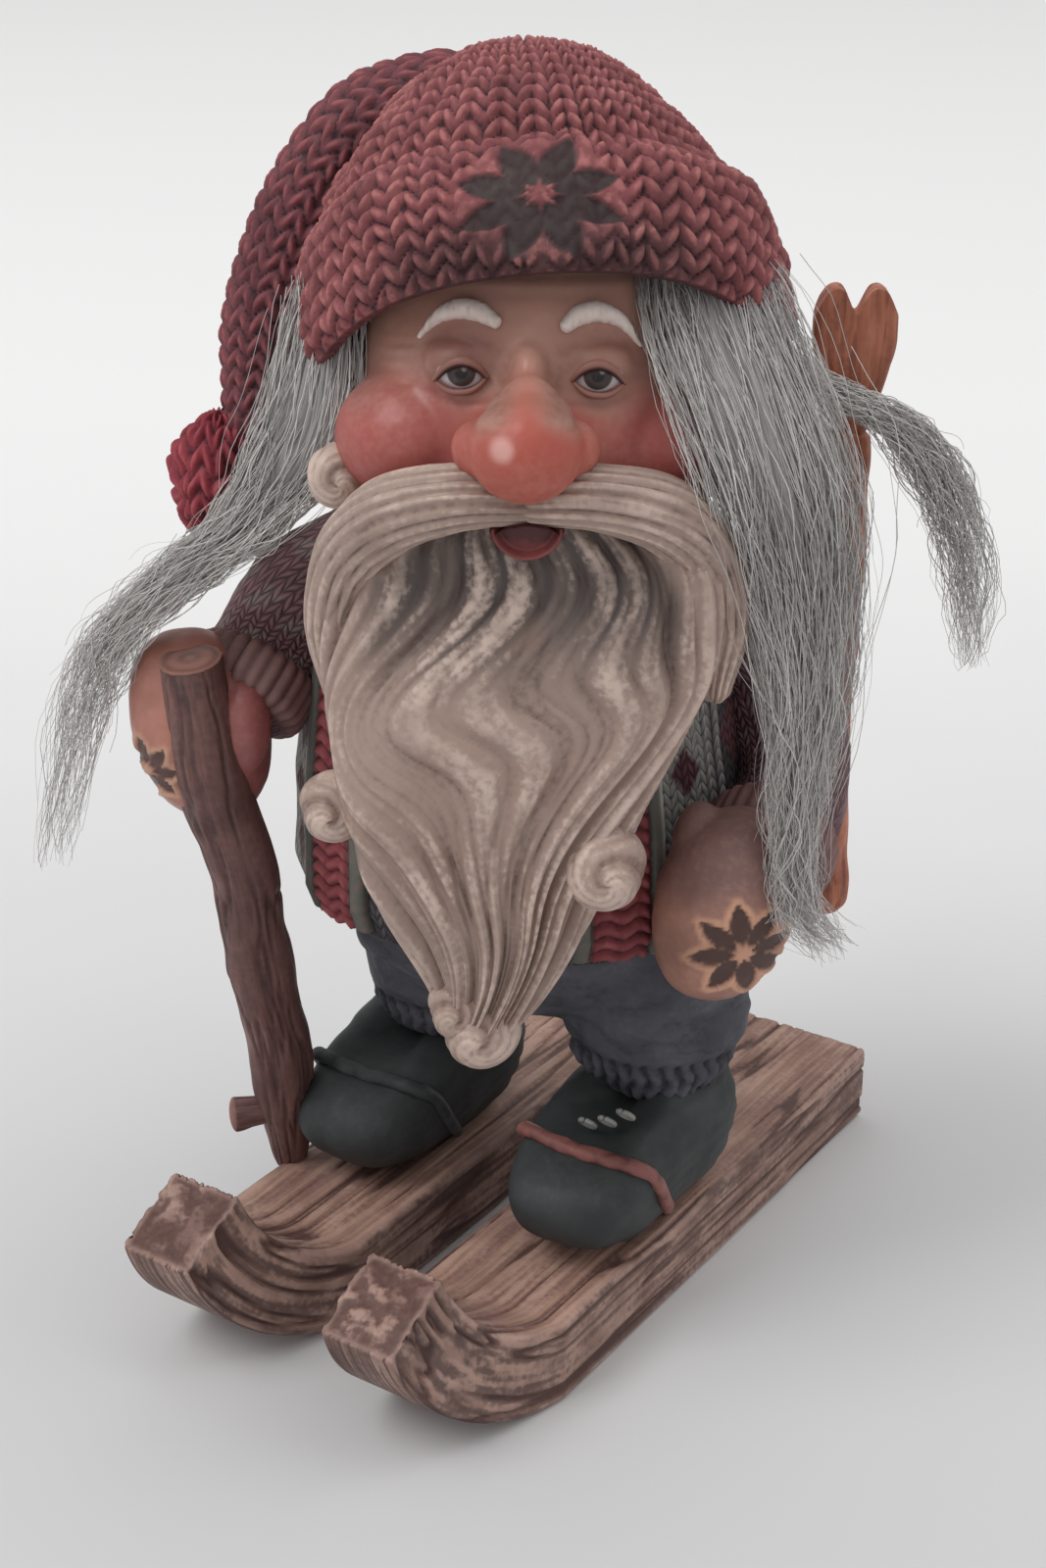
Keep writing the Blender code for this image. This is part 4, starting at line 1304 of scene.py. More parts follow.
        # The ball's poles point forward and back, so that the almond is a dome seen from the front
        forward = depth + ball.rise - 0.07 * x**2 - side.value * 0.10 * x
        ball.points = Storey.HEAD.place(middle + x, forward, self.eye_height + z - 0.1)
        look = np.hypot(x + 0.05 * side.value, z - 0.42)
        # A small light dot up beside the iris is a painted highlight.
        ball.dress(
            f"eye_{side.label}", EYE,
            iris=eased(look, self.iris_radius + 0.07, self.iris_radius - 0.07),
            pupil=eased(look, 0.60, 0.45), shade=eased(z, 0.35, 1.0) * 0.9,
            spark=eased(np.hypot(x - 0.30, z - 0.75), 0.28, 0.14) * 0.5, relief=0.64)
        for label, tall, radius in (("upper", 1.34, 0.46), ("lower", -1.22, 0.28)):
            knots = []
            for share in np.linspace(-1.0, 1.0, 9):
                lateral = middle + share * 2.15
                rise = tall * (1.0 - abs(share) ** 2.2) - 0.12 - 0.35 * max(0.0, share * side.value)
                reach = depth + 0.85 - 0.5 * share**2 - side.value * share * 0.25
                knots.append((*Storey.HEAD.place(lateral, reach, self.eye_height + rise),
                              radius * (1.0 - 0.5 * share**2)))
            route = Route(knots)
            rim = limb(route, 24, 60)
            under = route.at(rim.capped(0.08, 0.08)[0])[:, 2] - rim.points[:, 2]
            rim.dress(
                f"eyelid_{label}_{side.label}", LID,
                lash=eased(under, -0.02, 0.18) * (0.95 if label == "upper" else 0.0), relief=0.64)

    def brows(self) -> None:
        """The two painted crescents over the eyes."""
        for side, path in self.brow_paths:
            places = [(lateral, self.front(lateral, height) + 0.1, height)
                      for lateral, height in path]
            brow = limb(Route(knots_of(places, self.brow_radii)), 32, 90)
            hairs = layered(brow.points @ np.array(((3.0, 0, 0), (0, 3.0, 0), (0, 0, 1.2))), 2, 4.0)
            brow.swell((hairs - 0.5) * 0.14)
            brow.dress(f"brow_{side.label}", BROW, relief=hairs * 1.2)

    def mouth(self) -> bpy.types.Object:
        """The open mouth, a half moon between moustache and beard.

        Returns:
            The piece.
        """
        ball = Ball(90, 60)
        lateral, front, height = self.mouth_middle
        x = self.mouth_half * ball.ring * np.sin(ball.turn)
        down = np.cos(ball.turn)
        z = np.where(down > 0, 0.35, 2.75) * ball.ring * down - 0.12 * x**2 * (down > 0)
        inner = eased(ball.ring, 0.96, 0.72) * (ball.rise > 0)
        forward = front + 0.9 * ball.rise - 0.05 * x**2 - 1.1 * inner
        ball.points = Storey.HEAD.place(lateral + x, forward, height + z)
        # Painted shade: the relief is low at the top of the mouth, so the wash darkens the inside
        # under its upper edge and fades towards the bottom.
        return ball.dress(
            "mouth", MOUTH, relief=0.02 + 0.75 * eased(z, -0.6, -2.4) + 0.4 * (1 - inner))

    def build(self) -> None:
        """Builds the face's pieces."""
        self.skin()
        for side in Side:
            self.eye(side)
        self.brows()
        self.mouth()


@dataclass
class Beard:
    """The beard, the moustache over it, and the locks that curl out of it."""

    thickness: float = 17.0
    lock_depth: float = 2.2
    strand_depth: float = 0.5
    outline: tuple = (
        (90.5, -3.0, 2.2, 29.0), (88.5, -12.0, 11.0, 29.6), (85.0, -17.2, 15.8, 30.6),
        (80.0, -18.6, 17.0, 31.8), (74.0, -18.4, 15.6, 33.0), (68.0, -17.7, 12.8, 33.8),
        (61.0, -16.8, 9.6, 34.2), (55.0, -15.0, 6.6, 34.2), (50.0, -12.5, 4.2, 34.0),
        (45.0, -9.8, 1.2, 33.4), (41.0, -7.8, -1.6, 32.6), (38.4, -5.2, -4.4, 31.8))
    curls: tuple = (
        ("beard_curl_right", (-17.8, 27.2, 60.8), 2.9, 1),
        ("beard_curl_left", (6.2, 31.0, 56.8), 3.6, -1),
        ("beard_curl_tip", (-7.0, 30.4, 42.5), 2.6, 1), ("beard_tip", (-5.0, 30.0, 40.5), 3.6, 1),
        ("whiskers_right", (-16.6, 20.5, 88.8), 2.6, -1))
    moustache_path: tuple = (
        (0.4, 31.6, 90.2), (5.8, 32.2, 90.5), (11.2, 30.0, 88.4), (15.0, 26.8, 83.8),
        (16.6, 25.4, 77.5), (16.2, 25.8, 71.5))
    moustache_radii: tuple = (2.0, 2.6, 3.0, 2.85, 2.4, 1.3)

    def strands(self, across: np.ndarray, along: np.ndarray, seed: float) -> np.ndarray:
        """The height of carved strands, from 0 to 1.

        Args:
            across: Place across the strands, in strands.
            along: Place along them, from 0 to 1.
            seed: Picks another set.

        Returns:
            One height for each place.
        """
        wander = across + 0.9 * (speckle(np.stack((across / 3.0, along * 2.4), axis=-1), seed) - 0.5)
        ridge = ridges(wander * math.pi, 0.7)
        fine = ridges(wander * 2.7 * math.pi + 1.3, 0.8)
        some = speckle(np.stack((across / 1.5, along * 4.0), axis=-1), seed + 1.0)
        return np.clip(ridge * (0.45 + 0.4 * some) + 0.3 * fine, 0.0, 1.0)

    def body(self) -> bpy.types.Object:
        """The beard's mass: strands leave the mouth, sway and run together to the tip.

        Returns:
            The piece.
        """
        ball = Ball(340, 250)
        turn = ball.turn - 0.42 * np.sin(ball.turn)
        rows = np.array(self.outline)
        height = rows[0, 0] + (rows[-1, 0] - rows[0, 0]) * ball.drop
        marks = through(rows, np.linspace(0, len(rows) - 1, 200))[::-1]
        left, right, front = (np.interp(height, marks[:, 0], marks[:, col]) for col in (1, 2, 3))
        closing = np.minimum(1.0, ball.ring * 6)
        facing = np.cos(turn)
        sway = 0.26 * np.sin(2 * math.pi * ball.drop * 1.4) * np.maximum(0.0, facing)
        swell = np.sign(facing) * np.abs(facing) ** 0.6
        ball.points = Storey.HEAD.place(
            (left + right) / 2 + (right - left) / 2 * np.sin(turn + sway)
            * np.minimum(1.0, closing + 0.2),
            front - self.thickness / 2 + self.thickness / 2 * swell * closing, height)
        bend = 0.85 * np.sin(ball.drop * 6.4 + 1.5 * turn + 0.9) * eased(ball.drop, 0.12, 0.45)
        lock = self.strands(turn * 1.75 + bend, ball.drop, 21.0)
        fine = self.strands(turn * 5.4 + 3.0 * bend, ball.drop, 22.0)
        fade = closing * np.maximum(0.0, facing) ** 0.4
        ball.swell(((lock - 0.55) * self.lock_depth + (fine - 0.5) * self.strand_depth) * fade)
        relief = np.clip(0.62 * lock + 0.45 * fine, 0, 1)
        lateral, _, tall = Storey.HEAD.split(ball.points)
        arch = np.hypot((lateral + 0.8) / 14.2, (tall - 77.0) / 12.0)
        hollow = eased(arch, 1.08, 0.86) * eased(tall, 70.0, 83.0)
        dim = 0.16 * eased(tall, 66.0, 56.0)
        return ball.dress(
            "beard", BEARD, shade=np.clip(hollow * (1.08 - 0.45 * fine) + dim, 0, 0.92),
            stain=eased(layered(ball.points / 6.0, 2, 6.0), 0.5, 0.75) * 0.35, relief=relief)

    def moustache(self, side: Side) -> bpy.types.Object:
        """One half of the moustache, from under the nose out and down the beard's side.

        Args:
            side: Which half.

        Returns:
            The piece.
        """
        path = [(side.value * lateral - 0.6, forward, height)
                for lateral, forward, height in self.moustache_path]
        caps = (0.10, 0.12)
        half = limb(Route(knots_of(path, self.moustache_radii)), 84, 150, caps, (0.5, 0.9))
        along = half.capped(*caps)[0]
        strand = self.strands(half.turn * 2.4 + along * 1.2, along, 31.0 + side.value)
        half.swell((strand - 0.5) * 0.62)
        lateral, _, height = Storey.HEAD.split(half.points)
        under_nose = np.hypot((lateral + 0.8) / 9.0, (height - 91.5) / 3.2)
        # Right below the nose the moustache is painted darker: painted shade.
        return half.dress(
            f"moustache_{side.label}", BEARD, relief=strand,
            shade=eased(np.hypot(lateral + 0.8, height - 84.5), 5.4, 3.4) * 0.35,
            stain=eased(under_nose, 1.1, 0.3) * 0.5)

    def curl(self, name: str, centre: Sequence[float], radius: float, hand: int) -> bpy.types.Object:
        """One lock curled into a spiral.

        Args:
            name: The piece's name.
            centre: Lateral, forward and height of its middle.
            radius: Its radius.
            hand: 1 where it winds one way, -1 for the other.

        Returns:
            The piece.
        """
        ball = lump(centre, (radius, radius * 1.15, radius), 84, 60)
        lateral, _, height = Storey.HEAD.split(ball.points)
        x, z = (lateral - centre[0]) / radius, (height - centre[2]) / radius
        wind = np.arctan2(z, x * hand) - np.hypot(x, z) * 4.4
        relief = ridges(wind / 2 + 0.4, 0.6)
        fine = ridges(wind * 3 + 0.4, 0.7)
        ball.swell((relief - 0.6) * 0.75 + (fine - 0.5) * 0.16)
        # The curl's grooves are painted darker: painted shade.
        return ball.dress(
            name, BEARD, relief=0.75 * relief + 0.3 * fine, shade=0.0,
            stain=eased(relief, 0.6, 0.2) * 0.5)

    def build(self) -> None:
        """Builds the beard's pieces."""
        self.body()
        for side in Side:
            self.moustache(side)
        for curl in self.curls:
            self.curl(*curl)


@dataclass
class Sweater:
    """The sweater: its barrel, the raised bands down its front and the sleeves."""

    hem: float = 40.0
    tall: float = 45.0
    columns: int = 84
    row: float = 1.25
    sleeve_columns: int = 24
    sleeve_row: float = 1.45
    half_width: float = 23.2
    half_depth: float = 19.0
    shift: float = 1.2
    band_turn: float = math.radians(38)
    band_width: float = 7.8
    band_proud: float = 0.9
    band_thickness: float = 3.9
    sleeve_radius: float = 5.8
    cuff_radius: float = 6.4
    outline: tuple = ((0.0, .10, .10), (.06, .50, .60), (.20, .78, .88), (.40, .90, 1.0),
                      (.70, .98, 1.02), (.93, 1.0, 1.0), (1.0, .95, .95))

    def girth(self, drop: np.ndarray) -> tuple[np.ndarray, np.ndarray]:
        """The barrel's half width and half depth at a share of its height from the top.

        Args:
            drop: Shares of its height, 0 at the top.

        Returns:
            The half widths and the half depths.
        """
        rows = np.array(self.outline)
        return (self.half_width * np.interp(drop, rows[:, 0], rows[:, 1]),
                self.half_depth * np.interp(drop, rows[:, 0], rows[:, 2]))

    def barrel(self) -> bpy.types.Object:
        """The barrel of the sweater, with the knitted strips beside its bands.

        Returns:
            The piece.
        """
        ball = Ball(300, 170)
        turn = ball.turn - 0.40 * np.sin(ball.turn)
        drop = np.clip((ball.drop - 0.02) / 0.92, 0.0, 1.0)
        closing = np.clip(np.minimum(ball.drop / 0.02, (1.0 - ball.drop) / 0.06), 0.0, 1.0)
        width, depth = self.girth(drop)
        ball.points = Storey.TORSO.place(
            width * np.sin(turn) * closing - self.shift, depth * np.cos(turn) * closing,
            self.hem + self.tall * (1.0 - drop))
        height = self.hem + self.tall * (1.0 - drop)
        ball.swell((layered(ball.points / 7.0, 2, 9.0) - 0.5) * 0.9)
        ball.stitch_map(turn / (2 * math.pi) * self.columns, height / self.row, self.columns)
        aside = np.degrees(np.abs(turn))
        strip = eased(aside, 51.0, 52.0) * eased(aside, 67.5, 66.5)
        lozenge = np.abs((aside - 59.2) / 5.2) + np.abs(((height - 43.0) / 6.2) % 1.0 - 0.5) * 2.6
        inner = np.abs((aside - 82.0) / 8.0) + np.abs(((height - 47.0) / 9.0) % 1.0 - 0.5) * 2.4
        stripes = eased(aside, 100.0, 104.0) * eased(np.sin(height * 1.4), -0.2, 0.2)
        edge = np.min([np.abs(aside - line) for line in (51.0, 68.5, 73.0)], axis=0)
        hem = eased(height, self.hem + 2.6, self.hem + 2.2)
        return ball.dress(
            "sweater", SWEATER,
            maroon=np.maximum(eased(aside, 74.0, 76.0) * (inner < 1.0), stripes), strip=strip * 0.9,
            diamond=strip * eased(lozenge, 1.12, 0.95), piping=eased(edge, 1.3, 0.7) * 0.85,
            relief=0.95 - 0.5 * hem * (np.sin(turn * 60) < 0))

    def band(self, side: Side) -> bpy.types.Object:
        """One raised band of ladder knit down the front, beside the beard.

        Args:
            side: Which band.

        Returns:
            The piece.
        """
        ball = Ball(110, 190)
        across, out, along = plank(
            ball, self.band_width, self.band_thickness, 0.5, (0.03, 0.03))
        height = self.hem + 0.8 + self.tall * 0.62 * (1.0 - along)
        drop = 1.0 - (height - self.hem) / self.tall
        width, depth = self.girth(drop)
        proud = out - self.band_thickness / 2 + self.band_proud
        turn = side.value * self.band_turn + across / self.half_depth
        ball.points = Storey.TORSO.place(
            (width + proud) * np.sin(turn) - self.shift, (depth + proud) * np.cos(turn), height)
        place = across / self.band_width * 2
        ladder = eased(np.abs(place), 0.66, 0.60)
        rung = ridges((height + 0.35 * np.cos(place * 9)) * math.pi / 1.55, 0.6)
        lines = ridges(place * math.pi * 2.3 + 0.5, 0.45)
        knit = np.where(ladder > 0.5, rung * (0.55 + 0.45 * lines), 0.75)
        knit = knit * (1.0 - 0.8 * hill(np.abs(place) - 0.64, 0.05))
        outward = eased(out, 0.8, 1.6)
        ball.swell((knit - 0.6) * 0.75 * outward)
        return ball.dress(
            f"front_band_{side.label}", BAND, border=(1.0 - ladder) * 0.9,
            piping=eased(place * side.value, 0.86, 0.92) * 0.8,
            relief=np.where(outward > 0.3, knit, 0.4))

    def sleeve(self, side: Side, path: Sequence[Sequence[float]]) -> None:
        """One knitted sleeve with the thicker cuff at its wrist.

        Args:
            side: Which arm.
            path: Lateral, forward and height from shoulder to wrist.
        """
        radii = [self.sleeve_radius * (1.12 - 0.06 * index) for index in range(len(path))]
        knots = knots_of(path, radii)
        route = Route(knots)
        arm = limb(route, 84, 120)
        along = arm.capped(0.08, 0.08)[0] * route.length
        arm.swell((layered(arm.points / 5.0, 3, 11.0) - 0.5) * 1.1)
        arm.stitch_map(arm.turn / (2 * math.pi) * self.sleeve_columns, along / self.sleeve_row,
                       self.sleeve_columns)
        lace = np.abs(np.sin(along * 0.55)) * (np.abs(np.sin(arm.turn * 4 + along * 0.4)) > 0.75)
        arm.dress(f"sleeve_{side.label}", SLEEVE, rings=eased(lace, 0.55, 0.9) * 0.45, relief=0.9)
        wrist, last = np.array(knots[-1][:3]), np.array(knots[-2][:3])
        ahead = (wrist - last) / np.linalg.norm(wrist - last)
        rims = ((-3.4, 0.86), (-2.6, 0.98), (-0.6, 1.0), (0.9, 0.97), (1.6, 0.84))
        cuff_knots = [(*(wrist + ahead * step), self.cuff_radius * share) for step, share in rims]
        caps = (0.2, 0.2)
        cuff = limb(Route(cuff_knots), 160, 50, caps, (0.15, 0.15))
        rib = ridges(cuff.turn * 14, 0.6)
        side_only = eased(np.minimum(*cuff.capped(*caps)[1:]), 0.8, 1.0)
        cuff.swell((rib - 0.6) * 0.45 * side_only)
        cuff.dress(f"cuff_{side.label}", CUFF, relief=rib * side_only + 0.3 * (1 - side_only))

    def build(self) -> None:
        """Builds the sweater's pieces."""
        self.barrel()
        for side in Side:
            self.band(side)
        self.sleeve(Side.RIGHT, ((-16.0, 1.0, 73.5), (-21.8, 1.0, 70.5), (-25.2, 2.5, 66.5),
                                 (-27.6, 6.0, 63.1)))
        self.sleeve(Side.LEFT, ((14.0, 3.0, 73.5), (20.5, 2.5, 68.5), (24.4, 4.5, 60.0),
                                (24.7, 9.0, 53.5), (21.6, 16.0, 50.8)))


@dataclass
class Mittens:
    """The two mittens, each a closed hand with a knitted star on its back."""

    half_width: float = 6.6
    half_height: float = 9.4
    star_start: float = 8.0
    right: tuple = (-31.6, 8.0, 60.6)
    left: tuple = (17.6, 20.5, 47.8)

    def hand(self, side: Side, centre: Sequence[float], lean: float, thumb: Sequence[float],
             star: Sequence[float], finish: Finish) -> bpy.types.Object:
        """One mitten.

        Args:
            side: Which hand.
            centre: Lateral, forward and height of its middle.
            lean: How far its top leans to the side, for each millimetre of height.
            thumb: The thumb's middle from the hand's middle.
            star: The star's lateral and height from the hand's middle, and its radius.
            finish: Its paint.

        Returns:
            The piece.
        """
        palm = Ball(96, 72)
        ring = palm.ring**0.8
        rise = self.half_height * palm.rise
        palm.points = Storey.HEAD.place(
            centre[0] + self.half_width * ring * np.sin(palm.turn) + lean * rise,
            centre[1] + self.half_width * 0.85 * ring * np.cos(palm.turn), centre[2] + rise)
        bud = lump([a + b for a, b in zip(centre, thumb)], (2.6, 2.9, 4.6))
        hand = fused([palm, bud], 0.36, 3)
        lateral, forward, height = Storey.HEAD.split(hand.points)
        hand.swell((layered(hand.points / 3.2, 3, 13.0) - 0.5) * 0.35)
        x = (lateral - centre[0] - star[0]) / star[2]
        y = (height - centre[2] - star[1]) / star[2]
        inside = rosette(x, y, self.star_start)
        ahead = eased(forward - centre[1], -1.0, 1.2)
        petal = eased(inside, -0.005, 0.05) * ahead
        outline = eased(inside, -0.15, -0.06) * ahead * (1.0 - petal)
        outline = outline * eased(np.hypot(x, y), 1.18, 1.0)
        hand.swell((outline - petal) * 0.18)
        top = eased(height - centre[2], 0.5, 5.0)
        return hand.dress(
            f"mitten_{side.label}", finish, petal=petal * 0.95, outline=outline * 0.85,
            flush=top * 0.75 if side is Side.LEFT else eased(lateral - centre[0], 0.5, 4.5) * 0.7,
            relief=0.72 - 0.5 * petal + 0.2 * outline)

    def build(self) -> None:
        """Builds both mittens."""
        self.hand(Side.RIGHT, self.right, -0.10, (4.4, 2.8, 1.0), (-4.9, -3.4, 3.6), MITTEN_RED)
        self.hand(Side.LEFT, self.left, 0.12, (-2.4, -1.0, 5.2), (1.4, -2.4, 5.2), MITTEN_BROWN)


@dataclass
class Legs:
    """The trousers and the boots, with their laces and the strap over each toe."""

    spacing: float = 24.0
    shift: float = 1.7
    leg_radius: float = 9.6
    hem: float = 21.3
    leg_rise: float = 26.5
    seat_middle: float = 40.0
    seat_radii: tuple = (20.5, 16.0, 12.5)
    boot_spacing: float = 26.2
    boot_shift: float = 0.7
    boot_width: float = 15.2
    toe_reach: float = 20.5
    heel_reach: float = 8.5
    toe_height: float = 12.5
    ankle_height: float = 16.5
    boot_base: float = 8.0
    squareness: float = 0.62
    ski_top: float = 8.8
    strap_radius: float = 0.85

    def trousers(self) -> bpy.types.Object:
        """Both legs and the seat, creased, with the gathered hems over the boots.

        Returns:
            The piece.
        """
        seat = lump((0.0, 0.0, self.seat_middle), self.seat_radii, 80, 50, Storey.TORSO)
        parts: list[Surface] = [seat]
        for side in Side:
            leg = Ball(90, 70)
            ring = leg.ring**0.36
            height = self.hem + self.leg_rise * (1.0 + leg.rise) / 2
            x = side.value * self.spacing / 2 + self.shift
            leg.points = np.stack((
                x + self.leg_radius * ring * np.sin(leg.turn),
                AXIS_BACK + 1.0 + side.value - self.leg_radius * ring * np.cos(leg.turn),
                height), axis=-1)
            parts.append(leg)
        cloth = fused(parts, 0.46, 4)
        places = cloth.points
        x, y, z = places.T
        fold = layered(places / np.array((5.5, 5.5, 3.2)), 3, 15.0)
        crease = 1.0 - np.abs(2.0 * fold - 1.0)
        near = np.sign(x - self.shift)
        around = np.arctan2(x - self.shift - near * self.spacing / 2, -(y - AXIS_BACK - 1.0 - near))
        gather = eased(z, self.hem + 6.0, self.hem + 4.2)
        rib = ridges(around * 15 + 0.6 * np.sin(z * 2), 0.6)
        pinch = hill(z - self.hem - 4.6, 0.7)
        cloth.swell((fold - 0.5) * 1.5 - crease**4 * 0.35 + gather * (rib - 0.7) * 0.7 - pinch * 0.5)
        hollow = crease**4 * 0.5 + gather * (1 - rib) * 0.8 + pinch * 0.3
        return cloth.dress("trousers", TROUSERS, relief=0.88 - hollow)

    def boot(self, side: Side) -> bpy.types.Object:
        """One boot: a round toe cap, a heel and an ankle that runs up into the trousers.

        Args:
            side: Which boot.

        Returns:
            The piece.
        """
        ball = Ball(170, 120)
        front = np.cos(ball.turn)
        reach = np.where(front > 0, self.toe_reach, self.heel_reach)
        ring = ball.ring**0.55
        rise = self.ankle_height + (self.toe_height - self.ankle_height) * np.maximum(0.0, front)
        up = np.maximum(0.0, (1.0 + ball.rise) / 2) ** 0.8

        def squared(value: np.ndarray) -> np.ndarray:
            """A sine or cosine with its corners filled out."""
            return np.sign(value) * np.abs(value) ** self.squareness

        x = side.value * self.boot_spacing / 2 + self.boot_shift
        ball.points = np.stack((
            x + self.boot_width / 2 * ring * squared(np.sin(ball.turn)),
            AXIS_BACK + 1.0 - reach * ring * squared(front),
            self.boot_base + rise * up), axis=-1)
        places = ball.points
        wear = layered(places / 6.0, 3, 17.0)
        tall = places[:, 2] - self.ski_top
        welt = hill(tall - 1.9, 0.28)
        wrinkle = np.sin(places[:, 2] * 1.5 + wear * 4) ** 2 * eased(places[:, 1], -8.0, -3.0)
        ball.swell((wear - 0.5) * 0.7 - 0.28 * welt - 0.16 * wrinkle)
        return ball.dress(
            f"boot_{side.label}", BOOT,
            relief=0.62 + 0.4 * (wear - 0.3) - 0.55 * welt - 0.2 * wrinkle)

    def strap(self, side: Side) -> bpy.types.Object:
        """The leather loop that holds a boot's toe down on its ski.

        Args:
            side: Which boot.

        Returns:
            The piece.
        """
        x = side.value * self.boot_spacing / 2 + self.boot_shift
        knots = []
        for angle, drop in ((-80, 0.88), (-74, 0.66), (-66, 0.44), (-46, 0.27), (0, 0.175),
                            (46, 0.27), (66, 0.44), (74, 0.66), (80, 0.88)):
            ring = math.sin(math.pi * drop) ** 0.55
            aside, ahead = math.sin(math.radians(angle)), math.cos(math.radians(angle))
            rise = self.ankle_height + (self.toe_height - self.ankle_height) * ahead
            knots.append((
                x + (self.boot_width / 2 + 0.25) * ring
                * math.copysign(abs(aside) ** self.squareness, aside),
                AXIS_BACK + 1.0 - self.toe_reach * ring * ahead**self.squareness,
                self.boot_base + 0.35 + rise * ((1 + math.cos(math.pi * drop)) / 2) ** 0.8,
                self.strap_radius))
        loop = limb(Route(knots), 28, 150, (0.03, 0.03), (0.5, 0.5), 0.8)
        wear = layered(loop.points / 1.4, 2, 19.0)
        loop.swell((wear - 0.5) * 0.2)
        return loop.dress(
            f"strap_{side.label}", STRAP if side is Side.LEFT else BOOT, relief=wear * 1.3)

    def laces(self) -> None:
        """The pale lace loops that peep out over the left boot's tongue."""
        x, y = self.boot_spacing / 2 + self.boot_shift, AXIS_BACK + 1.0
        for index, (aside, forward, height) in enumerate(
                ((-0.2, 11.6, 21.6), (1.8, 11.2, 22.3), (3.4, 10.4, 23.2))):
            knots = []
            for angle in np.linspace(0.2, 2 * math.pi - 0.4, 10):
                knots.append((x + aside + 0.8 * math.sin(angle),
                              y - forward - 0.5 * math.cos(angle),
                              height + 0.6 * math.cos(angle), 0.25))
            cord = limb(Route(knots), 12, 60, (0.04, 0.04))
            twist = np.abs(np.sin(cord.turn + np.linspace(0, 1, len(cord.turn)) * 60))
            cord.dress(f"lace_loop_{index + 1}", LACE, relief=0.4 + 0.6 * twist)

    def build(self) -> None:
        """Builds the legs' pieces."""
        self.trousers()
        for side in Side:
            self.boot(side)
            self.strap(side)
        self.laces()


@dataclass
class Skis:
    """The pair of carved wooden skis that the figure stands on."""

    length: float = 81.6
    width: float = 16.5
    thickness: float = 8.8
    spacing: float = 24.0
    curl_radius: float = 20.0
    curl_angle: float = math.radians(72)
    tip_cut: float = math.radians(8)
    tip_width: float = 8.2
    tip_skew: float = 1.9
    bend_share: float = 0.58

    def ski(self, side: Side) -> bpy.types.Object:
        """One ski, straight and then curled up to a narrower tip.

        Args:
            side: Which ski.

        Returns:
            The piece.
        """
        ball = Ball(184, 260)
        caps = (0.05, 0.08)
        across, out, along = plank(ball, self.width, self.thickness, 0.75, caps)
        curl_start = -self.length / 2 + self.curl_radius * math.sin(self.curl_angle)
        straight = self.length / 2 - curl_start
        curled = np.clip((along - self.bend_share) / (1.0 - self.bend_share), 0.0, 1.0)
        behind = np.clip(along / self.bend_share, 0.0, 1.0)
        share = across / (self.width / 2)
        up = out + self.thickness / 2
        half = (self.width + (self.tip_width - self.width) * curled) / 2
        angle = (self.curl_angle + self.tip_cut * up / self.thickness) * curled
        lever = self.curl_radius - up
        ball.points = np.stack((
            side.value * self.spacing / 2 + share * half - self.tip_skew * curled,
            self.length / 2 - straight * behind - lever * np.sin(angle),
            self.curl_radius - lever * np.cos(angle)), axis=-1)
        run = straight * behind + self.curl_radius * self.curl_angle * curled
        fan = across * (1.0 - 0.25 * curled) + 1.6 * np.sin(run / 9.0 + side.value) * curled
        lanes = np.stack((fan / 1.7, up / 1.7, run / 30.0), axis=-1)
        coarse = layered(lanes, 2, 23.0 + side.value)
        fine = layered(lanes * np.array((3.0, 3.0, 2.2)), 2, 27.0)
        cut = 1.0 - np.abs(2.0 * coarse - 1.0)
        groove = eased(cut, 0.86, 0.98)
        _, first, last = ball.capped(*caps)
        end = np.minimum(first, last)
        on_side = eased(end, 0.9, 1.0)
        carved = (0.45 + 0.55 * curled) * on_side * eased(up, 0.0, 0.6)
        chips = layered(np.stack((across / 3.2, up / 1.4), axis=-1), 3, 29.0 + side.value)
        ball.swell(-(groove * 0.55 + (0.5 - fine) * 0.40) * carved
                   + (chips - 0.5) * 0.5 * (1.0 - on_side) * eased(end, 0.0, 0.3))
        ball.grain(np.stack((fan, up, run), axis=-1))
        off_side, off_top = self.width / 2 - np.abs(across), self.thickness / 2 - np.abs(out)
        flank = eased(off_side, 0.8, 0.1)
        # Painted shade: the curled tip and the sides of the ski are painted darker.
        dusk = np.clip(0.85 * eased(curled, 0.0, 0.5) + 0.85 * flank, 0, 0.9)
        # A lighter line along the top edges and round the tip's lip, broken by noise: partly worn
        # paint on the edges, partly a painted highlight where they catch the light.
        corner = eased(np.maximum(1.0 - off_side, 0.55 - off_top), 0.4, 0.9)
        rim = corner * eased(off_top, 0.9, 0.3) * eased(off_side, 1.2, 0.5)
        rim = rim * eased(layered(ball.points / 2.0, 2, 31.0), 0.3, 0.6)
        lip = hill(end - 0.93, 0.06)
        patches = eased(layered(ball.points / 7.0, 2, 33.0), 0.55, 0.75)
        ember = 1.3 * (1.0 - eased(end, 0.8, 0.95)) + patches * 0.5
        return ball.dress(
            f"ski_{side.label}", SKI_WOOD, dusk=dusk * (0.6 + 0.4 * eased(fine, 0.7, 0.35)),
            rim=np.clip(rim + lip * 0.8, 0, 1) * 0.8, ember=np.clip(ember, 0, 1) * 0.7,
            relief=np.where(on_side > 0.5, 0.85 - 0.8 * groove - 0.9 * (0.5 - fine), 0.2 + chips))

    def build(self) -> None:
        """Builds both skis."""
        for side in Side:
            self.ski(side)


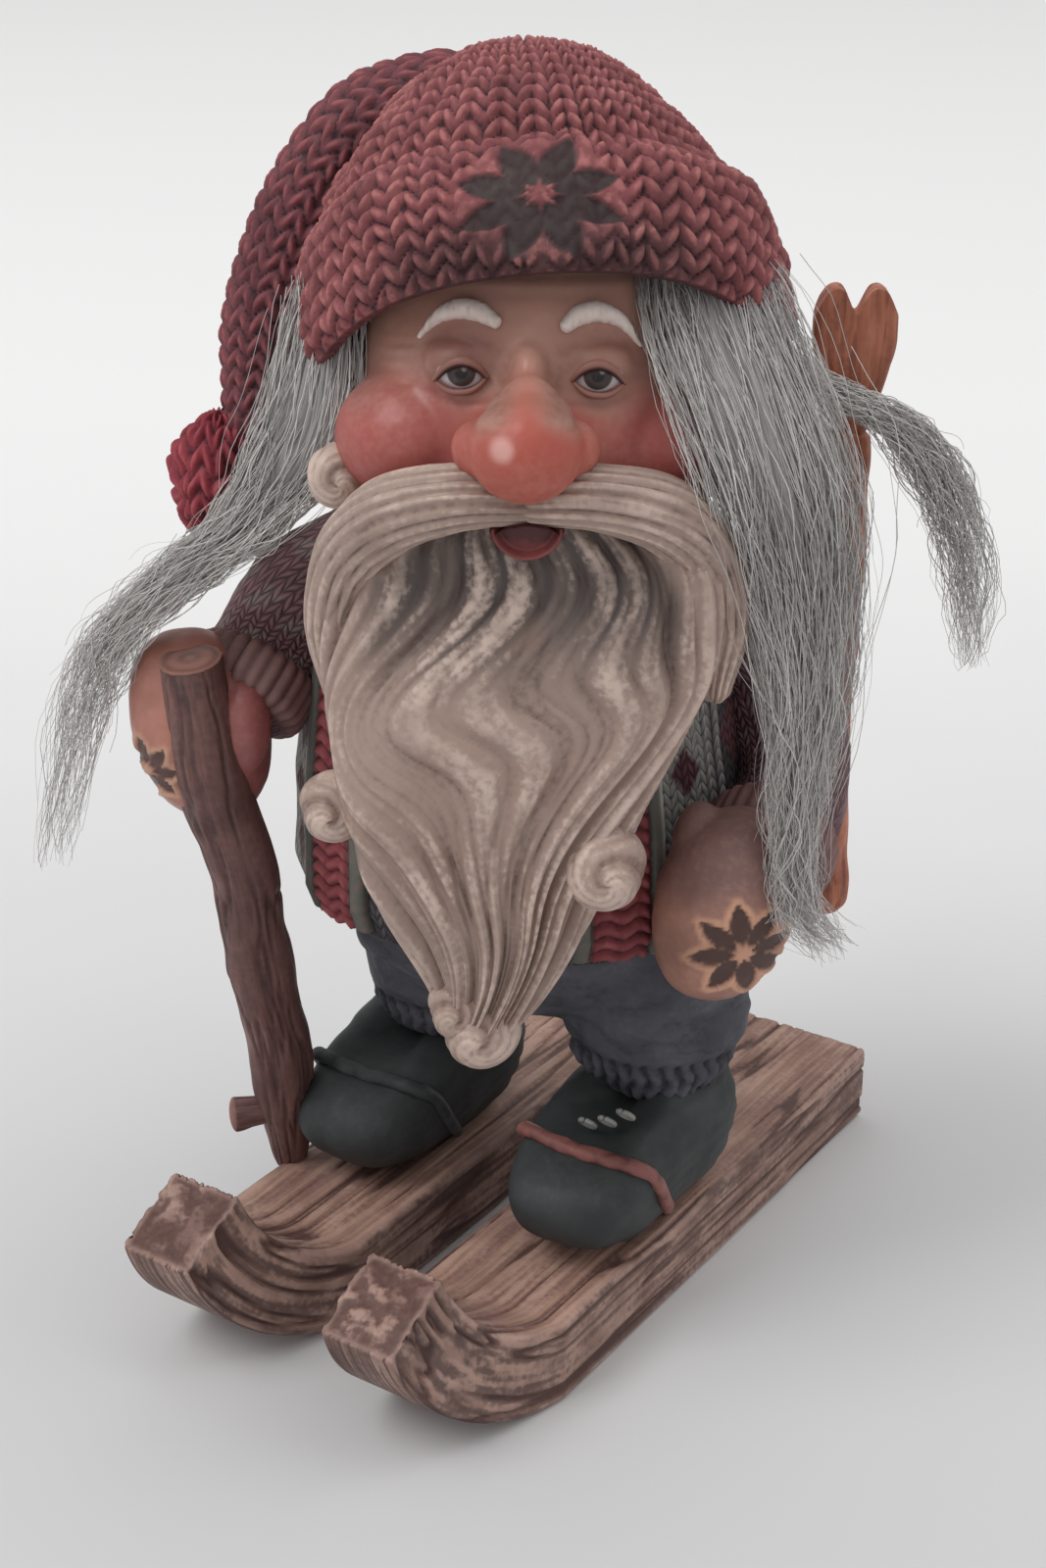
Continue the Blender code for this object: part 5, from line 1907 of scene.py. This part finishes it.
@dataclass
class Staves:
    """The staff in the right mitten and the fork-topped stick behind the left arm."""

    staff_radius: float = 3.3
    staff_path: tuple = (
        (-25.4, 2.0, 8.4, 0.50), (-25.7, 2.8, 15.0, 0.85), (-26.1, 3.5, 22.5, 1.0),
        (-27.0, 5.0, 30.5, 1.03), (-27.8, 6.7, 38.0, 1.0), (-28.2, 8.5, 45.0, 1.03),
        (-30.4, 11.0, 57.0, 1.0), (-31.6, 12.5, 68.9, 0.92))
    stub_reach: tuple = (-5.2, 1.2, 0.0)
    stub_radius: float = 1.9
    stick_low: tuple = (29.0, 4.2, 40.5)
    stick_high: tuple = (29.7, -1.5, 85.8)
    stick_radius: float = 1.9
    fork_width: float = 7.8
    fork_length: float = 14.5
    fork_thickness: float = 2.6

    def bark(self, branch: Ball, length: float, cut: np.ndarray, seed: float) -> None:
        """Carves bark along a branch and rings on its cut end.

        Args:
            branch: The limb, with its grain.
            length: Its length.
            cut: How far each vertex is inside the cut end, 0 on the side and 1 on the end.
            seed: Picks another pattern.
        """
        side = branch.drop * length
        lanes = np.stack((np.sin(branch.turn) * 2.4, np.cos(branch.turn) * 2.4, side / 13.0),
                         axis=-1)
        ridge = 1.0 - np.abs(2.0 * layered(lanes, 3, seed) - 1.0)
        groove = eased(ridge, 0.86, 0.99)
        knots = layered(branch.points / 6.0, 2, seed + 2.0)
        branch.swell((knots - 0.5) * 1.1 * (1.0 - cut) - groove * 0.26 * (1.0 - cut))
        branch.mask("cut", cut * 0.9)
        branch.mask("relief", np.where(cut > 0.5, 0.8, 0.82 - groove * 0.6))

    def staff(self) -> None:
        """The staff: a cut branch with a stub near its foot."""
        knots = knots_of([row[:3] for row in self.staff_path],
                         [self.staff_radius * row[3] for row in self.staff_path])
        caps = (0.04, 0.08)
        branch = limb(Route(knots), 96, 280, caps, (0.4, 0.06))
        inside = branch.capped(*caps)[2]
        cut = eased(inside, 0.92, 0.82)
        self.bark(branch, 62.0, cut, 41.0)
        rings = ridges(inside * 7.5 + 0.4, 3)
        rim = hill(inside - 0.95, 0.05)
        branch.dress("staff", STAFF_WOOD, ring=np.clip(rings * cut + rim * 0.6, 0, 1) * 0.8)
        root = Storey.HEAD.place(*self.staff_path[1][:3])
        tip = root + Storey.HEAD.place(*self.stub_reach) - Storey.HEAD.place(0.0, 0.0, 0.0)
        middle = (root + tip) / 2
        caps = (0.1, 0.2)
        stub = limb(Route([(*root, self.stub_radius), (*middle, self.stub_radius * 0.92),
                           (*tip, self.stub_radius * 0.98)]), 48, 60, caps, (0.4, 0.35))
        end = eased(stub.capped(*caps)[2], 0.95, 0.8)
        self.bark(stub, 6.0, end, 43.0)
        stub.dress("staff_stub", STAFF_WOOD, ring=end * 0.3)

    def stick(self) -> None:
        """The stick behind the left arm and its flat fork, notched like a heart."""
        low, high = (Storey.HEAD.place(*end) for end in (self.stick_low, self.stick_high))
        knots = [(*(low + (high - low) * share), self.stick_radius * size)
                 for share, size in ((0.0, 1.15), (0.25, 1.08), (0.5, 1.0), (1.0, 1.0))]
        rod = limb(Route(knots), 40, 150, (0.05, 0.05), (0.9, 0.6))
        self.bark(rod, 46.0, np.zeros_like(rod.turn), 47.0)
        rod.dress("forked_stick", STICK_WOOD)
        ball = Ball(96, 110)
        across, out, along = plank(ball, self.fork_width, self.fork_thickness, 0.9, (0.10, 0.06))
        share = across / (self.fork_width / 2)
        rise = 1.0 - along
        spread = 0.30 + 0.70 * np.sin(math.pi / 2 * np.minimum(1.0, rise * 1.25))
        high_up = np.maximum(0.0, rise - 0.5) * 2
        notch = 0.17 * high_up * hill(share, 0.22)
        shoulder = 0.20 * high_up * np.maximum(0.0, (np.abs(share) - 0.5) * 2) ** 2
        tall = self.fork_length * (rise - notch - shoulder)
        base = high + np.array((0.0, 0.0, 1.2))
        step = Storey.HEAD.place(self.fork_width / 2 * share * spread, out, tall - 1.2)
        ball.points = base + step - Storey.HEAD.place(0.0, 0.0, 0.0)
        ball.grain(np.stack((across, out, tall), axis=-1))
        veins = layered(np.stack((across / 1.1, out, tall / 9.0), axis=-1), 3, 49.0)
        ball.swell((veins - 0.5) * 0.35)
        ball.dress("stick_fork", STICK_WOOD, cut=0.0, relief=0.4 + (veins - 0.35) * 1.2)

    def build(self) -> None:
        """Builds both staves."""
        self.staff()
        self.stick()


@dataclass
class Hank:
    """One glued hank of grey fibre.

    Attributes:
        name: The piece's name, which is also the solid's that it stands for.
        path: Lateral, forward, height, half width and half thickness of each row.
        count: The number of its fibres.
        core: The share of its length that a denser mass fills.
        core_size: The mass's share of the hank's width and thickness.
        seed: Picks its fibres.
        loose: How far the fibres wander from its path.
        wrap: How far it bends round the head, for each millimetre of its width.
        fibre_radius: A fibre's middling radius.
        steps: The points along a fibre.
        stray_every: One fibre in so many strays out of the hank.
        reach_right: Where the solids end on the figure's right, past which fibres are held back.
        reach_left: Where they end on its left.
        give: How far past that a fibre may still come.
    """

    name: str
    path: tuple
    count: int
    core: float
    core_size: float
    seed: int
    loose: float = 1.0
    wrap: float = 0.5
    fibre_radius: float = 0.05
    steps: int = 32
    stray_every: int = 17
    reach_right: float = 35.2
    reach_left: float = 36.2
    give: float = 1.6

    def row(self, along: np.ndarray) -> np.ndarray:
        """The hank's row at shares of its length."""
        return through(np.array(self.path, float), along * (len(self.path) - 1))

    def fibres(self) -> bpy.types.Object:
        """The hank's single fibres, each thinning to its end.

        Returns:
            The piece.
        """
        chance = np.random.default_rng(self.seed)
        curve = bpy.data.curves.new(self.name, "CURVE")
        curve.dimensions = "3D"
        curve.bevel_depth = METRES
        curve.bevel_resolution = 0
        curve.use_fill_caps = True
        hand = math.copysign(1.0, self.path[0][0])
        for index in range(self.count):
            stray = index % self.stray_every == 0
            start = chance.uniform(0.0, 0.08) if index % 3 else chance.uniform(0.15, 0.6)
            stop = 1.0 - 0.6 * chance.random() ** 1.15
            along = np.linspace(min(start, stop - 0.25), stop, self.steps)
            rows = self.row(along)
            reach, angle = chance.random() ** 0.6, chance.uniform(0, 2 * math.pi)
            reach *= chance.uniform(1.2, 1.9) if stray else 1.1
            fray = 1.0 + 0.9 * along**3 * chance.uniform(0.0, 1.6)
            aside = rows[:, 3] * reach * math.cos(angle) * fray
            aside = hand * np.maximum(hand * aside, -rows[:, 3] * (1.0 + 0.5 * along))
            out = rows[:, 4] * reach * math.sin(angle) * fray
            waves = chance.uniform(1.5, 5.5, 2)
            crimps = chance.uniform(22.0, 60.0, 2)
            phases = chance.uniform(0, 2 * math.pi, 5)
            size = chance.uniform(0.3, 1.1) * (0.3 + along) * (1.5 if stray else 1.0) * self.loose
            crimp = chance.uniform(0.12, 0.42)
            lateral = rows[:, 0] + aside + size * np.sin(waves[0] * 6 * along + phases[0])
            lateral = lateral + crimp * np.sin(crimps[0] * along + phases[2])
            forward = rows[:, 1] + out - self.wrap * hand * aside
            forward = forward + size * np.sin(waves[1] * 6 * along + phases[1])
            height = rows[:, 2] + crimp * np.sin(crimps[1] * along + phases[3])
            height = height + size * 0.7 * np.sin(waves[0] * 5 * along + phases[4])
            places = Storey.HEAD.place(lateral, forward, height)
            beyond = places[:, 0] - np.clip(places[:, 0], -self.reach_right, self.reach_left)
            places[:, 0] += np.tanh(beyond / self.give) * self.give - beyond
            places = places * METRES
            spline = curve.splines.new("POLY")
            spline.points.add(self.steps - 1)
            flat = np.concatenate((places, np.ones((self.steps, 1))), axis=1)
            spline.points.foreach_set("co", flat.astype(np.float32).ravel())
            radius = self.fibre_radius * chance.uniform(0.8, 1.25) * (0.65 if stray else 1.0)
            thin = radius * (1.0 - 0.55 * np.linspace(0, 1, self.steps) ** 2)
            spline.points.foreach_set("radius", thin.astype(np.float32))
        mesh = frozen(placed(self.name, curve))
        bpy.data.curves.remove(curve)
        hair = Surface(mesh)
        hair.points = hair.points / METRES
        per_fibre = len(mesh.vertices) // self.count
        own = np.repeat(chance.random(self.count) ** 0.8, per_fibre)
        return hair.dress(
            f"{self.name}_fibres", HAIR, self.name, shade=np.resize(own, len(mesh.vertices)))

    def mass(self) -> bpy.types.Object:
        """The matted mass of fibres at the hank's root.

        Returns:
            The piece.
        """
        ball = Ball(120, 220)
        along = ball.drop * self.core
        rows = self.row(along)
        size = ball.ring**0.35 * self.core_size * (1.0 - 0.5 * eased(ball.drop, 0.6, 1.0))
        hand = math.copysign(1.0, self.path[0][0])
        aside = rows[:, 3] * size * np.sin(ball.turn)
        out = rows[:, 4] * size * np.cos(ball.turn)
        ball.points = Storey.HEAD.place(
            rows[:, 0] + aside, rows[:, 1] + out - self.wrap * hand * aside, rows[:, 2])
        lanes = np.stack((np.sin(ball.turn) * 7, np.cos(ball.turn) * 7,
                          along * self.core * 12.5), axis=-1)
        fibre = layered(lanes * 1.6, 2, self.seed)
        ball.swell((fibre - 0.5) * 0.5)
        return ball.dress(f"{self.name}_mass", HAIR_CORE, self.name, shade=(fibre - 0.3) * 2.2)


@dataclass
class Hair:
    """The grey fibre glued under the hat, in three hanks."""

    hanks: tuple = field(default_factory=lambda: (
        Hank("hair_right", (
            (-17.6, 12.5, 104.0, 3.2, 0.8), (-20.0, 15.2, 91.5, 4.4, 1.5),
            (-25.2, 12.5, 82.4, 3.6, 1.9), (-32.0, 10.5, 76.6, 2.8, 1.8),
            (-38.8, 9.5, 70.0, 2.3, 1.8), (-43.2, 7.5, 60.5, 1.9, 1.4),
            (-47.3, 6.5, 45.0, 0.7, 0.7)),
            count=480, core=0.34, core_size=0.76, seed=5),
        Hank("hair_left_front", (
            (13.6, 15.0, 108.5, 4.4, 0.9), (15.4, 21.3, 103.0, 6.2, 1.2),
            (20.0, 26.2, 91.5, 6.4, 1.8), (22.6, 24.0, 80.0, 5.3, 1.9),
            (23.9, 23.6, 68.0, 3.1, 2.0), (23.2, 24.8, 57.0, 1.6, 1.3),
            (23.8, 25.2, 50.0, 1.2, 1.0), (27.4, 24.8, 45.0, 1.2, 0.9)),
            count=880, core=0.50, core_size=0.74, seed=6),
        Hank("hair_left_back", (
            (21.2, 8.0, 97.2, 0.8, 0.8), (25.0, 5.2, 93.4, 1.6, 1.3),
            (29.0, 4.2, 91.2, 2.0, 1.4), (33.4, 3.6, 88.6, 2.4, 1.5),
            (37.4, 2.5, 83.8, 2.6, 1.6), (40.4, 0.5, 77.4, 2.2, 1.5),
            (42.4, -2.0, 69.5, 1.7, 1.3), (43.4, -4.0, 61.8, 0.7, 0.7)),
            count=400, core=0.30, core_size=0.7, seed=7, loose=0.8),
    ))

    def build(self) -> None:
        """Builds the hanks."""
        for hank in self.hanks:
            hank.fibres()
            hank.mass()


# The studio


def aim(made: bpy.types.Object, back: np.ndarray, place: Sequence[float]) -> None:
    """Hangs a camera or lamp level at a place and turns it.

    Args:
        made: The camera or lamp.
        back: The direction out of its back, of length 1.
        place: Where it hangs, in metres.
    """
    right = np.cross((0.0, 0.0, 1.0), back)
    right = right / np.linalg.norm(right)
    up = np.cross(back, right)
    made.matrix_world = Matrix([
        (right[i], up[i], back[i], place[i]) for i in range(3)] + [(0, 0, 0, 1)])


@dataclass
class Studio:
    """A pale floor, soft light and the camera at the photograph's angle."""

    position: tuple = (0.12375, -0.1823, 0.150)
    azimuth: float = math.radians(34)
    pitch: float = math.radians(24)
    lens: float = 56.25
    floor_far: Colour = tint(242, 242, 242)
    floor_near: Colour = tint(208, 208, 209)
    lamp_power: float = 13.0
    lit_height: float = 0.06
    sky_strength: float = 0.68

    def camera(self) -> None:
        """The camera."""
        data = bpy.data.cameras.new("camera")
        data.lens = self.lens
        data.sensor_width = 36.0
        data.clip_start, data.clip_end = 0.01, 50.0
        made = placed("camera", data)
        level = math.cos(self.pitch)
        aim(made, np.array((math.sin(self.azimuth) * level, -math.cos(self.azimuth) * level,
                            math.sin(self.pitch))), self.position)
        bpy.context.scene.camera = made

    def lamp(self, name: str, place: Sequence[float], size: float, power: float) -> None:
        """One soft square lamp that shines at the figure's middle.

        Args:
            name: The lamp's name.
            place: Where it hangs, in metres.
            size: The length of its side, in metres.
            power: Its power in watts.
        """
        data = bpy.data.lights.new(name, "AREA")
        data.size = size
        data.energy = power
        made = placed(name, data)
        back = np.array(place) - np.array((0.0, 0.0, self.lit_height))
        aim(made, back / np.linalg.norm(back), place)

    def floor(self) -> None:
        """The floor, a pale sheet that keeps the figure's shadow, with painted shade towards the
        camera.
        """
        bm = bmesh.new()
        bmesh.ops.create_grid(bm, x_segments=1, y_segments=1, size=8.0)
        mesh = bpy.data.meshes.new("floor")
        bm.to_mesh(mesh)
        bm.free()
        made = placed("floor", mesh)
        paper = bpy.data.materials.new("pale_paper")
        paper.use_nodes = True
        bench = Bench(paper.node_tree)
        shader = paper.node_tree.nodes["Principled BSDF"]
        place = bench.add("ShaderNodeTexCoord").outputs["Object"]
        split = bench.add("ShaderNodeSeparateXYZ", {0: place})
        # Painted light and shade: the floor's colour runs from light far off to darker near the
        # camera, and faint noise makes the border uneven.
        near = bench.maths(
            "SUBTRACT", bench.times(split.outputs[0], 0.56), bench.times(split.outputs[1], 0.83))
        cloud = bench.rise(bench.noise(place, 9.0), 0.3, 0.7, -0.02, 0.02)
        share = bench.rise(bench.maths("ADD", near, cloud), -0.35, 0.14)
        bench.feed(shader, {"Base Color": bench.blend(share, self.floor_far, self.floor_near),
                            "Roughness": 0.9, "Specular IOR Level": 0.1})
        mesh.materials.append(paper)

    def sky(self) -> None:
        """The pale room light."""
        world = bpy.data.worlds.new("room")
        bpy.context.scene.world = world
        world.use_nodes = True
        back = world.node_tree.nodes["Background"]
        back.inputs["Color"].default_value = (1.0, 0.995, 0.99, 1.0)
        back.inputs["Strength"].default_value = self.sky_strength

    def build(self) -> None:
        """Sets up the studio."""
        self.sky()
        self.floor()
        self.lamp("key_lamp", (-0.55, -0.95, 1.60), 0.9, self.lamp_power)
        self.lamp("top_lamp", (0.70, 0.35, 1.80), 1.2, self.lamp_power * 0.35)
        self.camera()
        bpy.context.scene.view_settings.view_transform = "Standard"


def main() -> None:
    """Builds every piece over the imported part, then the studio round it."""
    logging.basicConfig(level=logging.INFO, format="%(message)s")
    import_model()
    for maker in (Skis, Legs, Sweater, Mittens, Staves, Face, Beard, Hat, Hair, Studio):
        maker().build()


if __name__ == "__main__":
    main()
